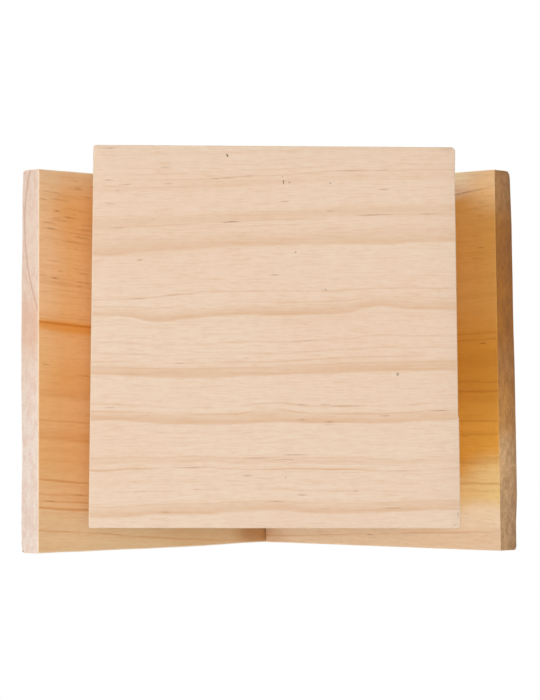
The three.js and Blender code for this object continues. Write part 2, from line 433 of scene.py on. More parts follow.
@dataclass(frozen=True)
class Timber:
    """Finish of a bare sawn board, cut from a log whose rings show on its faces and its ends.

    Attributes:
        slot: The record's slot.
        ground: Colour between the growth lines.
        blush: Colour that the ground drifts to in places.
        sap: Colour of the sapwood.
        line: Colour of the growth lines.
        fleck: Colour of dark specks.
        cut_end: Colour of the end grain.
        cut_line: Colour of the growth lines on the end grain.
        pith: Where the log's middle lies: across the board, and how far behind its face.
        sapwood: Distance across the face, from the pith's line, where the sapwood starts.
        sap_fade: Half the width over which it does so.
        bands: Broad growth lines.
        streaks: Thin growth lines, which come and go along the board.
        firm: Thin growth lines that stay dark all along.
        specks: Marks at known places.
        slant: How far the grain climbs across the board for each mm along it.
        slant_from: Place along the board where the growth lines are given.
        bend: How far the grain wanders, in mm.
        plain: Darkness of the plain rings between the named ones.
        pitch: Distance between the plain rings.
        fibre: Darkness of the fine fibres.
        flecks: Share of places that have a resin fleck.
        fleck_reach: Distance from the pith's line within which flecks lie.
        ripple: How far the grain trembles, in mm.
        waves: Courses that the grain follows.
        arris: Colour of the eased edges, where the fibres are worn pale and a painted highlight
            runs along them.
        rub_and_highlight: How much of that colour they have.
        aged: How much darker the end grain gets towards the board's outer face.
        dash: Colour of fine dashes along the grain.
        stains_and_light: Broad soft places of another colour on the faces: stains in the wood, and
            painted light and painted shade.
        end_stains_and_light: The same on the end grain.
        end_lines: Growth lines that stand out on the end grain.
        end_rings: How clearly the other rings show on the end grain.
        blotch: How blotched the end grain is.
        dash_from: How many times longer than wide a mark is from where on it is a dash.
    """

    slot: str
    ground: Paint
    blush: Paint
    sap: Paint
    line: Paint
    fleck: Paint
    cut_end: Paint
    cut_line: Paint
    pith: Pair = (160.0, 90.0)
    sapwood: float = 900.0
    sap_fade: float = 1.5
    bands: tuple[GrowthLine, ...] = ()
    streaks: tuple[GrowthLine, ...] = ()
    firm: tuple[GrowthLine, ...] = ()
    specks: tuple[Speck, ...] = ()
    slant: float = 0.0
    slant_from: float = 0.0
    bend: float = 7.0
    plain: float = 0.3
    pitch: float = 5.0
    fibre: float = 0.2
    flecks: float = 0.1
    fleck_reach: float = 900.0
    ripple: float = 2.4
    waves: tuple[Wave, ...] = ()
    arris: Paint = tone(250, 226, 194)
    rub_and_highlight: float = 0.0
    aged: float = 0.0
    dash: Paint = tone(168, 116, 70)
    stains_and_light: tuple[StainAndLight, ...] = ()
    end_stains_and_light: tuple[StainAndLight, ...] = ()
    end_lines: tuple[GrowthLine, ...] = ()
    end_rings: float = 0.8
    blotch: float = 0.25
    dash_from: ClassVar[float] = 2.0

    def dress(self, piece: Piece, lie: Lie, start: Triple, seed: int) -> None:
        """Gives a board its material.

        Args:
            piece: The board.
            lie: How it lies.
            start: A point of the visible face, where places along it are counted from.
            seed: What sets its drift and fibres apart from another board's.
        """
        c = Canvas.named(piece.name + "_pine")
        g = self.grain(c, lie, start, seed)
        fibres = c.noise(g.place, (0.11, 1.7, 1.7), seed + 7, 3.0, 0.62)
        hairs = c.noise(g.place, (0.35, 3.2, 3.2), seed + 9)
        cloud = c.noise(g.place, (0.3, 0.5, 0.5), seed + 21, 3.0, 0.7)
        colour = self.faces(c, g)
        for veil, low, high, share in ((fibres, 0.44, 0.74, 1.0), (hairs, 0.5, 0.8, 0.6),
                                       (cloud, 0.4, 0.75, 0.45)):
            colour = c.mix(c.ease(veil, low, high, self.fibre * share), colour, self.line)
        dashes, specks = self.marks(c, g)
        colour = c.mix(c.times(dashes, c.ease(hairs, 0.25, 0.6)), colour, self.dash)

        end = c.ease(c.calc("ABSOLUTE", c.facing("Normal", lie.turn)[0]), 0.6, 0.85)
        pores = c.noise(g.place, (0.4, 1.3, 1.6), seed + 13, 4.0, 0.75)
        colour = c.mix(specks, c.mix(end, colour, self.ends(c, g, pores)), self.fleck)
        # Eased edges made lighter: partly fibres worn pale, partly a painted highlight along the
        # edge.
        if self.rub_and_highlight:
            steep = c.calc("ABSOLUTE", c.facing("True Normal", lie.turn)[2])
            bevel = c.times(c.ease(steep, 0.995, 0.96), c.ease(steep, 0.1, 0.25))
            colour = c.mix(c.times(bevel, self.rub_and_highlight), colour, self.arris)
        rough = c.line(fibres, 0.14, c.line(end, 0.14, 0.56))
        height = c.line(fibres, 0.6, c.line(g.rings, 0.35, c.times(pores, end, 1.2)))
        Bench.coat(piece, c.finish(colour, rough, height, 0.09), self.slot)

    def grain(self, c: Canvas, lie: Lie, start: Triple, seed: int) -> Grain:
        """Works out the board's grain.

        Args:
            c: The board's canvas.
            lie: How the board lies.
            start: A point of the visible face, where places along it are counted from.
            seed: The board's seed.

        Returns:
            The grain.
        """
        place = c.place(tuple(-(lie.turn.to_matrix() @ Vector(start))), lie.turn)
        along, across, deep = c.add("SeparateXYZ", place).outputs
        level = c.line(c.calc("SUBTRACT", along, self.slant_from), -self.slant, across)
        if self.waves:
            level = c.straighten(along, level, self.waves)
        laid = c.add("CombineXYZ", along, level, deep).outputs[0]
        bend = c.noise(place, (0.011, 0.032, 0.032), seed, 1.5)
        ripple = c.noise(place, (0.05, 0.16, 0.16), seed + 5)
        bent = c.swing(ripple, self.ripple, c.swing(bend, 2 * self.bend, level))
        side = c.calc("SUBTRACT", bent, self.pith[0])
        behind = c.times(c.calc("ADD", deep, 2 * self.pith[1]), deep)
        reach = c.calc("SQRT", c.line(side, side, c.calc("MAXIMUM", behind, 0.0)))
        sided = c.times(reach, c.calc("SIGN", side))

        patch = c.noise(place, (0.022, 0.3, 0.3), seed + 11)
        plain = c.add("TexNoise", None, c.line(reach, 1 / self.pitch, seed * 4.1), 1.0, 1.5,
                      noise_dimensions="1D").outputs[0]
        rings = c.times(c.ease(plain, 0.46, 0.72, self.plain), c.ease(patch, 0.2, 0.6))
        if self.bands:
            lanes = c.noise(place, (0.035, 0.8, 0.8), seed + 19, 3.0, 0.6)
            bands = c.times(c.growth(sided, self.bands, self.pith[0]), c.line(patch, 0.7, 0.62),
                            c.line(lanes, 1.6, 0.2))
            rings = c.calc("MAXIMUM", rings, bands)
        if self.streaks:
            streaks = c.growth(sided, self.streaks, self.pith[0])
            rings = c.calc("MAXIMUM", rings, c.times(streaks, c.ease(patch, 0.33, 0.55)))
        if self.firm:
            rings = c.calc("MAXIMUM", rings, c.growth(sided, self.firm, self.pith[0]))
        return Grain(place, laid, deep, reach, rings, seed)

    def faces(self, c: Canvas, g: Grain) -> Socket:
        """Colour of the faces under their fibres, on a board's canvas, from its grain."""
        drift = c.noise(g.place, (0.012, 0.03, 0.03), g.seed + 3, 3.0)
        colour = c.mix(c.ease(drift, 0.36, 0.66), self.ground, self.blush)
        wide = c.calc("MAXIMUM", g.deep, 0.0)
        heart = c.times(c.ease(g.reach, c.line(wide, 1.2, self.sapwood + self.sap_fade),
                               c.line(wide, -1.2, self.sapwood - self.sap_fade)),
                        c.calc("SUBTRACT", 1.0, c.ease(g.deep, 2.0, 9.0, 0.5)))
        colour = c.mix(heart, self.sap, colour)
        # Patches on the visible face alone, not on the face behind it: stains in the wood, and on
        # the roof boards painted light and painted shade of their undersides.
        if self.stains_and_light:
            stained_and_lit = self.stained_and_lit(c, g.laid, colour, self.stains_and_light)
            colour = c.mix(c.ease(g.deep, 7.0, 2.0), colour, stained_and_lit)
        return c.mix(c.times(g.rings, c.line(heart, 0.6, 0.4)), colour, self.line)

    def ends(self, c: Canvas, g: Grain, pores: Socket) -> Socket:
        """Colour of the end grain, on a board's canvas, from its grain and open pores."""
        mottle = c.noise(g.place, (0.2, 0.2, 0.4), g.seed + 17, 5.0, 0.7)
        cut = c.mix(c.times(g.rings, self.end_rings), self.cut_end, self.cut_line)
        # Patches on the end grain, which on the roof boards carry painted light and painted shade.
        cut = self.stained_and_lit(c, g.place, cut, self.end_stains_and_light)
        if self.end_lines:
            cut = c.mix(c.growth(g.reach, self.end_lines, self.pith[0], False), cut, self.dash)
        cut = c.mix(c.ease(pores, 0.4, 0.75, 0.4), cut, self.cut_line)
        cut = c.mix(c.ease(mottle, 0.38, 0.68, self.blotch), cut, self.cut_line)
        if self.aged:
            worn = c.swing(mottle, 10.0, g.deep)
            cut = c.mix(c.ease(worn, 2, 11, self.aged), cut, self.fleck)
        return cut

    @staticmethod
    def stained_and_lit(c: Canvas, place: Socket, colour: Feed, stains_and_light: Sequence[StainAndLight]) -> Feed:
        """The colour with soft patches on it: stains, and painted light and painted shade.

        Args:
            c: The board's canvas.
            place: Coordinates along, across and behind the face, or along the grain.
            colour: The colour under them.
            stains_and_light: The patches.

        Returns:
            The colour with its patches.
        """
        for tint in stains_and_light:
            colour = c.mix(c.spot(place, tint, 0.3), colour, tone(*tint.shade))
        return colour

    def marks(self, c: Canvas, g: Grain) -> tuple[Socket, Socket]:
        """Masks of a board's fine brown dashes and of its dark specks."""
        cells = c.add("TexVoronoi", c.mapped(g.place, (0.1, 0.6, 0.6), (g.seed,) * 3), None, 1.0)
        chance = c.add("SeparateColor", cells.outputs["Color"]).outputs[0]
        fine = c.times(c.ease(cells.outputs["Distance"], 0.3, 0.05),
                       c.ease(chance, 1 - self.flecks, 1.02 - self.flecks, 0.4),
                       c.ease(g.reach, self.fleck_reach + 6, self.fleck_reach - 6))
        dark: Feed = 0.0
        for speck in self.specks:
            if speck.long > self.dash_from:
                fine = c.calc("MAXIMUM", fine, c.spot(g.laid, speck, 0.0, speck.rise))
            else:
                dark = c.calc("MAXIMUM", dark, c.spot(g.laid, speck, 0.4, speck.rise))
        return fine, c.calc("MAXIMUM", dark, 0.0)


@dataclass(frozen=True)
class BambooFinish:
    """Finish of a sawn bamboo cane: smooth skin, a fibrous cut end and a pale bore, with painted
    shade deeper in it.

    The piece's own map gives the way across the cane's wall, from 0 at the bore to 1 at the
    skin, and the depth behind the mouth in mm. Its `tone` attribute sets it apart.
    """

    slot: str = "bamboo"
    skin: Paint = tone(218, 182, 112)
    skin_aged: Paint = tone(188, 144, 80)
    wall: Paint = tone(238, 212, 162)
    wall_aged: Paint = tone(214, 174, 114)
    bundle: Paint = tone(136, 90, 46)
    bore: Paint = tone(222, 188, 134)
    bore_shade_and_fibre: Paint = tone(168, 122, 70)

    def material(self) -> bpy.types.Material:
        """One material for every cane, which reads each cane's own map and attribute."""
        c = Canvas.named("bamboo_cane")
        place = c.place()
        depth, wall, _ = c.add("SeparateXYZ", c.add("UVMap", uv_map="wall").outputs[0]).outputs
        own = c.add("Attribute", attribute_name="tone").outputs["Fac"]
        broad = c.noise(place, (0.05, 0.02, 0.05), 2)
        aged = c.calc("ADD", c.times(own, 0.8), c.times(broad, 0.4))
        fibres = c.noise(place, (2.6, 0.05, 2.6), 4, 3.0, 0.6)
        skin = c.mix(aged, self.skin, self.skin_aged)
        skin = c.mix(c.ease(fibres, 0.45, 0.8, 0.35), skin, self.skin_aged)
        cells = c.add("TexVoronoi", c.mapped(place, (1.5, 0.25, 1.5)), None, 1.0)
        share = c.calc("DIVIDE", cells.outputs["Distance"], c.line(wall, 0.16, 0.16))
        dots = c.ease(c.calc("SUBTRACT", 1.0, share), 0.0, 0.5, 0.62)
        cut = c.mix(dots, c.mix(aged, self.wall, self.wall_aged), self.bundle)
        cut = c.mix(c.ease(wall, 0.86, 1.0, 0.5), cut, self.skin_aged)
        # Darker deeper into the bore: painted shade.
        bore = c.mix(c.ease(depth, 0.0, 30.0), self.bore, self.bore_shade_and_fibre)
        bore = c.mix(c.ease(fibres, 0.5, 0.8, 0.4), bore, self.bore_shade_and_fibre)
        colour = c.mix(c.ease(wall, 0.015, 0.06), bore, cut)
        colour = c.mix(c.ease(wall, 0.965, 0.995), colour, skin)
        smooth = c.ease(wall, 0.965, 0.995, 0.22)
        rough = c.calc("SUBTRACT", c.line(fibres, 0.12, 0.62), smooth)
        height = c.calc("SUBTRACT", c.times(fibres, 0.5), c.times(dots, 0.4))
        return c.finish(colour, rough, height, 0.08, 0.4)


@dataclass(frozen=True)
class SteelFinish:
    """Finish of a galvanised brad's head."""

    slot: str = "roof_pine"
    bright: Paint = tone(176, 178, 180)
    dull: Paint = tone(120, 118, 114)

    def material(self) -> bpy.types.Material:
        """Dull zinc, spotted darker here and there."""
        c = Canvas.named("zinc_brad")
        spots = c.noise(c.place(), (1.2, 1.2, 1.2), 3, 4.0, 0.65)
        colour = c.mix(c.ease(spots, 0.4, 0.7), self.bright, self.dull)
        c.nodes["Principled BSDF"].inputs["Metallic"].default_value = 1.0
        return c.finish(colour, c.line(spots, 0.3, 0.28), spots, 0.03, 0.5)


@dataclass(frozen=True)
class Nudge:
    """A small move of the corners and edges that lie in a box: what sets a real board off true."""

    low: Triple
    high: Triple
    move: Triple

    @classmethod
    def near(cls, place: Sequence[float | None], move: Triple) -> "Nudge":
        """A nudge of what lies within 1 mm of a place, or all along an axis that is None."""
        low = [-FAR if part is None else part - 1 for part in place]
        high = [FAR if part is None else part + 1 for part in place]
        return cls(tuple(low), tuple(high), move)

    def holds(self, place: Vector) -> bool:
        """Whether a place in mm lies in the box."""
        return all(l <= p <= h for l, p, h in zip(self.low, place, self.high))


class Bench:
    """Modelling moves on one piece at a time, each made with Blender's own operators.

    `seed` counts the random moves, and points less than `doubled` mm apart are merged.
    """

    seed = 0
    doubled = 0.01

    @staticmethod
    def clear() -> None:
        """Goes to object mode and deselects everything."""
        if bpy.context.mode != "OBJECT":
            bpy.ops.object.mode_set(mode="OBJECT")
        bpy.ops.object.select_all(action="DESELECT")

    @classmethod
    def take(cls, *pieces: Piece) -> None:
        """Selects only these pieces, in object mode, and makes the first one active."""
        cls.clear()
        for piece in pieces:
            piece.select_set(True)
        bpy.context.view_layer.objects.active = pieces[0]

    @classmethod
    @contextmanager
    def editing(cls, piece: Piece, part: str = "VERT") -> Iterator[None]:
        """Edit mode on a piece, by vertex, edge or face, with nothing selected at first."""
        cls.take(piece)
        bpy.ops.object.mode_set(mode="EDIT")
        bpy.ops.mesh.select_mode(type=part)
        bpy.ops.mesh.select_all(action="DESELECT")
        yield
        bpy.ops.object.mode_set(mode="OBJECT")
        piece.data.update()

    @staticmethod
    def named(name: str) -> Piece:
        """The newest primitive, with its place put in its mesh and the given name."""
        piece = bpy.context.active_object
        piece.name = piece.data.name = name
        bpy.ops.object.transform_apply()
        return piece

    @classmethod
    def block(cls, name: str, low: Sequence[float], high: Sequence[float]) -> Piece:
        """A block between two corners in mm."""
        cls.clear()
        middle = [(l + h) / 2 * MM for l, h in zip(low, high)]
        size = [(h - l) * MM for l, h in zip(low, high)]
        bpy.ops.mesh.primitive_cube_add(size=1, location=middle, scale=size)
        return cls.named(name)

    @classmethod
    def rod(cls, name: str, middle: Triple, radius: float, length: float, turn: Triple,
            sides: int = 40) -> Piece:
        """A round rod about its middle, upright until it is turned by degrees."""
        cls.clear()
        bpy.ops.mesh.primitive_cylinder_add(
            vertices=sides, radius=radius * MM, depth=length * MM, location=metres(middle),
            rotation=turned(turn))
        return cls.named(name)

    @staticmethod
    def pick(piece: Piece, test: Test, edges: bool = False, longest: float = FAR) -> bool:
        """Selects, in edit mode, what lies wholly where a test of a place in mm holds.

        Args:
            piece: The piece in edit mode.
            test: The test.
            edges: Whether edges are picked, by both their ends, or single vertices.
            longest: Length in mm above which an edge is passed over.

        Returns:
            Whether anything was found.
        """
        mesh = bmesh.from_edit_mesh(piece.data)
        inside = {v for v in mesh.verts if test(v.co / MM)}
        found = [part for part in (mesh.edges if edges else mesh.verts)
                 if (inside.issuperset(part.verts) and part.calc_length() <= longest * MM
                     if edges else part in inside)]
        for part in found:
            part.select_set(True)
        bmesh.update_edit_mesh(piece.data)
        return bool(found)

    @classmethod
    def nudge(cls, piece: Piece, nudges: Sequence[Nudge]) -> None:
        """Moves what lies in each nudge's box."""
        with cls.editing(piece):
            for nudge in nudges:
                bpy.ops.mesh.select_all(action="DESELECT")
                if cls.pick(piece, nudge.holds):
                    bpy.ops.transform.translate(value=metres(nudge.move))

    @classmethod
    def score(cls, piece: Piece, axis: int, places: Sequence[float]) -> None:
        """Cuts new edges round a piece, square to an axis, at places in mm."""
        normal = [float(axis == i) for i in range(3)]
        with cls.editing(piece):
            for place in places:
                bpy.ops.mesh.select_all(action="SELECT")
                bpy.ops.mesh.bisect(plane_co=[n * place * MM for n in normal], plane_no=normal)

    @classmethod
    def round_edges(cls, piece: Piece, test: Test, radius: float, steps: int = 4,
                    longest: float = FAR) -> None:
        """Rounds the edges, up to a length, whose ends both pass a test."""
        with cls.editing(piece, "EDGE"):
            if cls.pick(piece, test, True, longest):
                bpy.ops.mesh.bevel(offset=radius * MM, segments=steps, affect="EDGES")

    @classmethod
    def wear_corners(cls, piece: Piece, test: Test, reach: float) -> None:
        """Wears off the corners that pass a test."""
        with cls.editing(piece):
            if cls.pick(piece, test):
                bpy.ops.mesh.bevel(offset=reach * MM, segments=4, affect="VERTICES")

    @classmethod
    def roughen(cls, piece: Piece, reach: float) -> None:
        """Moves every vertex a little, the same way each run."""
        cls.seed += 1
        with cls.editing(piece):
            bpy.ops.mesh.select_all(action="SELECT")
            bpy.ops.transform.vertex_random(offset=reach * MM, seed=cls.seed)

    @classmethod
    def ease(cls, piece: Piece, width: float, steps: int = 3, limit: float = 40.0) -> None:
        """Softens every edge sharper than the limit in degrees, and merges doubled points."""
        bevel = piece.modifiers.new("eased", "BEVEL")
        bevel.width = width * MM
        bevel.segments = steps
        bevel.use_clamp_overlap = False
        bevel.limit_method = "ANGLE"
        bevel.angle_limit = math.radians(limit)
        cls.apply(piece, bevel)
        with cls.editing(piece):
            bpy.ops.mesh.select_all(action="SELECT")
            bpy.ops.mesh.remove_doubles(threshold=cls.doubled * MM)

    @classmethod
    def apply(cls, piece: Piece, modifier: bpy.types.Modifier) -> None:
        """Applies a piece's modifier."""
        cls.take(piece)
        bpy.ops.object.modifier_apply(modifier=modifier.name)

    @classmethod
    def drill(cls, piece: Piece, tools: Sequence[Piece]) -> None:
        """Takes the tools' shapes out of a piece and clears the tools away."""
        for tool in tools:
            cut = piece.modifiers.new("cut", "BOOLEAN")
            cut.operation = "DIFFERENCE"
            cut.solver = "EXACT"
            cut.object = tool
            cls.apply(piece, cut)
            bpy.data.objects.remove(tool)

    @classmethod
    def join(cls, name: str, pieces: Sequence[Piece]) -> Piece:
        """Makes one piece of several."""
        cls.take(*pieces)
        bpy.ops.object.join()
        pieces[0].name = pieces[0].data.name = name
        return pieces[0]

    @classmethod
    def settle(cls, piece: Piece, move: Triple, turn: Triple = (0, 0, 0)) -> None:
        """Turns a piece by degrees about the origin, moves it by mm and keeps that in its mesh."""
        piece.rotation_euler = turned(turn)
        piece.location = metres(move)
        cls.take(piece)
        bpy.ops.object.transform_apply()

    @classmethod
    def copy(cls, piece: Piece, move: Triple) -> Piece:
        """A copy with its own mesh, moved by mm."""
        twin = piece.copy()
        twin.data = piece.data.copy()
        bpy.context.scene.collection.objects.link(twin)
        cls.settle(twin, move)
        return twin

    @staticmethod
    def coat(piece: Piece, material: bpy.types.Material, slot: str) -> None:
        """Gives a piece its one material."""
        piece.data.materials.clear()
        piece.data.materials.append(material)

    @classmethod
    def done(cls, piece: Piece, nodes: Sequence[str], smooth: float = 35.0) -> Piece:
        """Shades a finished piece, rides it on the house and puts it in its nodes' place."""
        cls.take(piece)
        bpy.ops.object.shade_smooth_by_angle(angle=math.radians(smooth))
        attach(piece, BODY)
        if nodes:
            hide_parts(*nodes)
        LOG.info("%s: %d faces, for %s", piece.name, len(piece.data.polygons),
                 ", ".join(nodes) or "no node")
        return piece


BASE_WAVES = each(
    Wave,
    (64.8, (
        (-62, 67.4), (-45, 67.2), (-35, 67), (-22, 66.8), (-12, 66.1), (0, 65.3), (7, 65.1),
        (14, 64.7), (26, 64), (45, 63.4), (62, 63))),
    (48.6, (
        (-64, 51.1), (-43, 51), (-28, 50.6), (-12, 49.7), (0, 49.3), (10, 48.6), (20, 48.1),
        (35, 47.2), (55, 46.5), (64, 46.1))),
    (40, (
        (-62, 41.3), (-50, 41), (-40, 40.5), (-30, 40.3), (-10, 40.3), (0, 40), (10, 39.8),
        (20, 39.5), (30, 38.5), (40, 38.1), (50, 37.6), (60, 36.5))),
    (22.8, (
        (-64, 23.8), (-40, 24), (-27, 23.5), (-20, 23), (0, 23), (10, 22.8), (25, 22.7),
        (31, 22.1), (37, 21.7), (45, 20.8), (50, 20.3), (62, 20))),
    (14.5, (
        (-64, 16.3), (-52, 16.5), (-48, 16.8), (-44, 17.6), (-39, 18), (-35, 17.6), (-30, 16.3),
        (-27, 15.4), (-20, 15), (-10, 14.6), (-4, 14.2), (0, 14.4), (10, 14.7), (20, 14.3),
        (30, 13.3), (35, 12.9), (41, 12.2), (46, 12.5), (50, 13.4), (54, 14.1), (62, 14.3))),
    (-2.8, (
        (-62, -0.7), (-45, -1), (-30, -1.3), (-15, -1.9), (0, -2.7), (12, -2.8), (35, -3.1),
        (60, -2.6))),
    (-7, (
        (-62, -5.7), (-40, -6.1), (-30, -6.3), (-20, -6.8), (-10, -6.9), (0, -7.4), (10, -7.6),
        (20, -8), (30, -8.2), (40, -8.1), (50, -7.6), (62, -7))),
    (-21.5, (
        (-64, -20.6), (-55, -20.9), (-50, -21.6), (-40, -22), (-20, -21.8), (-10, -21.4),
        (-5, -20.7), (0, -20.4), (5, -20.6), (10, -21.2), (15, -21.9), (30, -22), (40, -21.7),
        (50, -21.1), (62, -20.8))),
    (-24.7, (
        (-62, -23.9), (-50, -24.5), (-40, -24.9), (-30, -24.6), (-10, -24.7), (0, -24.5),
        (10, -25), (20, -25.3), (30, -25.2), (40, -25), (45, -24.6), (50, -24.1), (62, -23.5))),
    (-42, (
        (-60, -42.1), (-50, -42.6), (-40, -42.7), (-30, -42.1), (-20, -42), (-5, -41.8),
        (5, -42.1), (15, -41.8), (20, -41.5), (25, -41.1), (30, -41.2), (38, -41.4), (42, -41.8),
        (50, -41.7), (62, -42.1))),
    (-57.4, (
        (-62, -56.5), (-50, -57), (-30, -57.4), (-10, -57.2), (0, -56.5), (10, -56.7), (18, -57),
        (25, -57.7), (45, -57.8), (50, -58.3), (62, -58.8))),
)

BASE_SPECKS = each(
    Speck,
    (16.9, 72.6, 0.5, 0.7, 1), (17.2, 73.1, 0.4, 0.8, 0.9), (-3.5, 62.4, 0.5, 0.55, 1),
    (-3.5, 61.7, 0.5, 0.5, 0.8), (-5.6, 61.9, 0.35, 1.2, 0.6), (-3.2, 64.2, 0.3, 1, 0.4),
    (-20.6, 60.6, 0.35, 1, 0.6), (-7.8, 36.9, 0.4, 1.2, 0.5), (-44.9, -8.3, 0.75, 0.9, 0.5),
    (-18.7, 23.3, 0.5, 1.5, 0.3), (-66.7, -59.5, 1.6, 0.25, 0.22, None),
    (-65.4, -63.2, 0.4, 3, 0.6, None), (-4, -45.3, 0.35, 1.6, 0.25), (-63.5, 74.5, 3.6, 1, 0.12),
    (16, 48.6, 0.32, 16, 0.95), (19, 64.6, 0.28, 26, 0.6), (9, 64.9, 0.28, 12, 0.5),
    (-39.5, 64.9, 0.3, 13, 0.7), (-28, 64.9, 0.28, 30, 0.45), (54, 63.7, 0.28, 12, 0.5),
    (39, 63.6, 0.28, 8, 0.45), (57, 61.7, 0.3, 3, 0.4), (4, 54.6, 0.26, 15, 0.55),
    (-4, 55, 0.26, 14, 0.6), (44, 50.9, 0.3, 5, 0.5), (-36, 48.5, 0.32, 28, 0.5),
    (-56, 48.5, 0.3, 16, 0.4), (57, 48.5, 0.3, 14, 0.5), (37.5, 22.7, 0.28, 20, 0.4),
    (50, 22.8, 0.28, 18, 0.4), (-26, -18.8, 0.34, 26, 0.45), (-18, -18.3, 0.32, 13, 0.45),
    (60, -19.9, 0.28, 15, 0.4), (-60, -21.5, 0.3, 18, 0.6), (34.5, -2.9, 0.3, 10, 0.4),
    (10, -1.4, 0.26, 8, 0.55), (-29.5, -49.9, 0.28, 6, 0.6), (49.5, -49.7, 0.28, 11, 0.5),
    (28, -49.4, 0.28, 9, 0.4), (0, -54.4, 0.3, 18, 0.6), (-43, -56.3, 0.3, 22, 0.6),
    (-18, -56.5, 0.28, 14, 0.45), (-4, -38.6, 0.3, 26, 0.6), (-7, -36.8, 0.3, 24, 0.6),
    (7, -37.7, 0.28, 22, 0.5), (-13, 4.3, 0.26, 40, 0.4), (30, -41.9, 0.34, 34, 0.4),
    (-46, -42, 0.3, 26, 0.4), (49, 36.8, 0.42, 4, 0.6), (60, 76.3, 0.4, 15, 0.5),
)

PALE_PINE = Timber(
    slot="base_pine", ground=tone(243, 217, 192), blush=tone(242, 213, 187),
    sap=tone(238, 212, 184), line=tone(222, 174, 130), fleck=tone(74, 50, 24),
    dash=tone(150, 92, 54), cut_end=tone(226, 198, 166), cut_line=tone(194, 150, 108),
    pith=(160.0, 120.0),
    bands=each(
        GrowthLine,
        (61.9, 0.25, 3.2, 1), (50.4, 0.35, 2.8, 3.8), (40, 0.5, 6.5, 0.9), (14.5, 0.6, 4.4, 0.7),
        (-7, 0.65, 3.9, 0.6), (-24.7, 0.65, 4.6, 0.6), (-39.4, 0.3, 2.8, 0.9),
        (-57.4, 0.55, 4.8, 0.7),
    ),
    streaks=each(
        GrowthLine,
        (67, 0.3), (64.7, 0.5), (51.1, 0.4), (48.6, 0.6), (46.6, 0.3), (41.4, 0.5), (22.8, 0.5),
        (18.9, 0.5), (16, 0.7), (4.4, 0.4), (0.2, 0.4, 0.6, 0.4), (-2.8, 0.6, 0.6, 0.4),
        (-4.6, 0.7), (-18.7, 0.5, 0.6, 0.5), (-21.5, 0.8, 0.6, 0.4), (-37.8, 0.5, 0.5, 0.3),
        (-42, 0.9, 0.6, 0.4), (-43.2, 0.3), (-49.7, 0.35), (-54.3, 0.5), (-56.3, 0.5, 0.5, 0.3),
    ),
    specks=BASE_SPECKS, bend=0.0, ripple=0.9, waves=BASE_WAVES, plain=0.1, pitch=3.6, fibre=0.34,
    flecks=0.04, rub_and_highlight=0.4,
)

ROOF_FLECKS = each(
    Speck,
    (107.3, 69.5, 0.6, 6, 0.5), (98.8, 71.3, 0.6, 6, 0.45), (109.4, 72.6, 0.5, 8, 0.3),
    (117.9, 64.1, 0.55, 13, 0.45), (126, 63.2, 0.5, 9, 0.45), (118.7, 59.4, 0.55, 5, 0.65),
    (111.7, 57.5, 0.6, 10, 0.55), (115.4, 55.9, 0.6, 14, 0.4), (123.3, 54.3, 0.5, 10, 0.5),
    (122.5, 52, 0.55, 12, 0.65), (105.9, 50.3, 0.6, 10, 0.55), (110.4, 48, 0.55, 20, 0.45),
    (120.4, 32.6, 0.6, 5, 0.8), (104.6, 32.3, 0.55, 12, 0.6), (121, 66.6, 0.6, 18, 0.3),
    (106, 60.8, 0.6, 22, 0.25), (103, 53.4, 0.7, 20, 0.35), (108, 51.6, 0.6, 30, 0.3),
    (107, 45.2, 0.6, 16, 0.25), (118, 31, 0.6, 26, 0.3), (112, 28.2, 0.5, 30, 0.25),
    (106, 37.6, 0.5, 18, 0.25), (120.4, 39.4, 0.45, 13, 0.5), (105, 35.9, 0.45, 11, 0.45),
    (126, 33, 0.45, 9, 0.4), (103, 66.9, 0.5, 10, 0.45), (101.5, 55.5, 0.5, 14, 0.4),
    (125, -2.2, 0.5, 7, 0.5), (104.5, -5.1, 0.4, 17, 0.6), (107, -53.1, 0.4, 14, 0.5),
    (123, -56.2, 0.42, 16, 0.55), (127.3, -75.6, 1.6, 1, 0.35, 9),
    (128.6, -73.4, 1.3, 0.7, 0.25, 9.6),
)

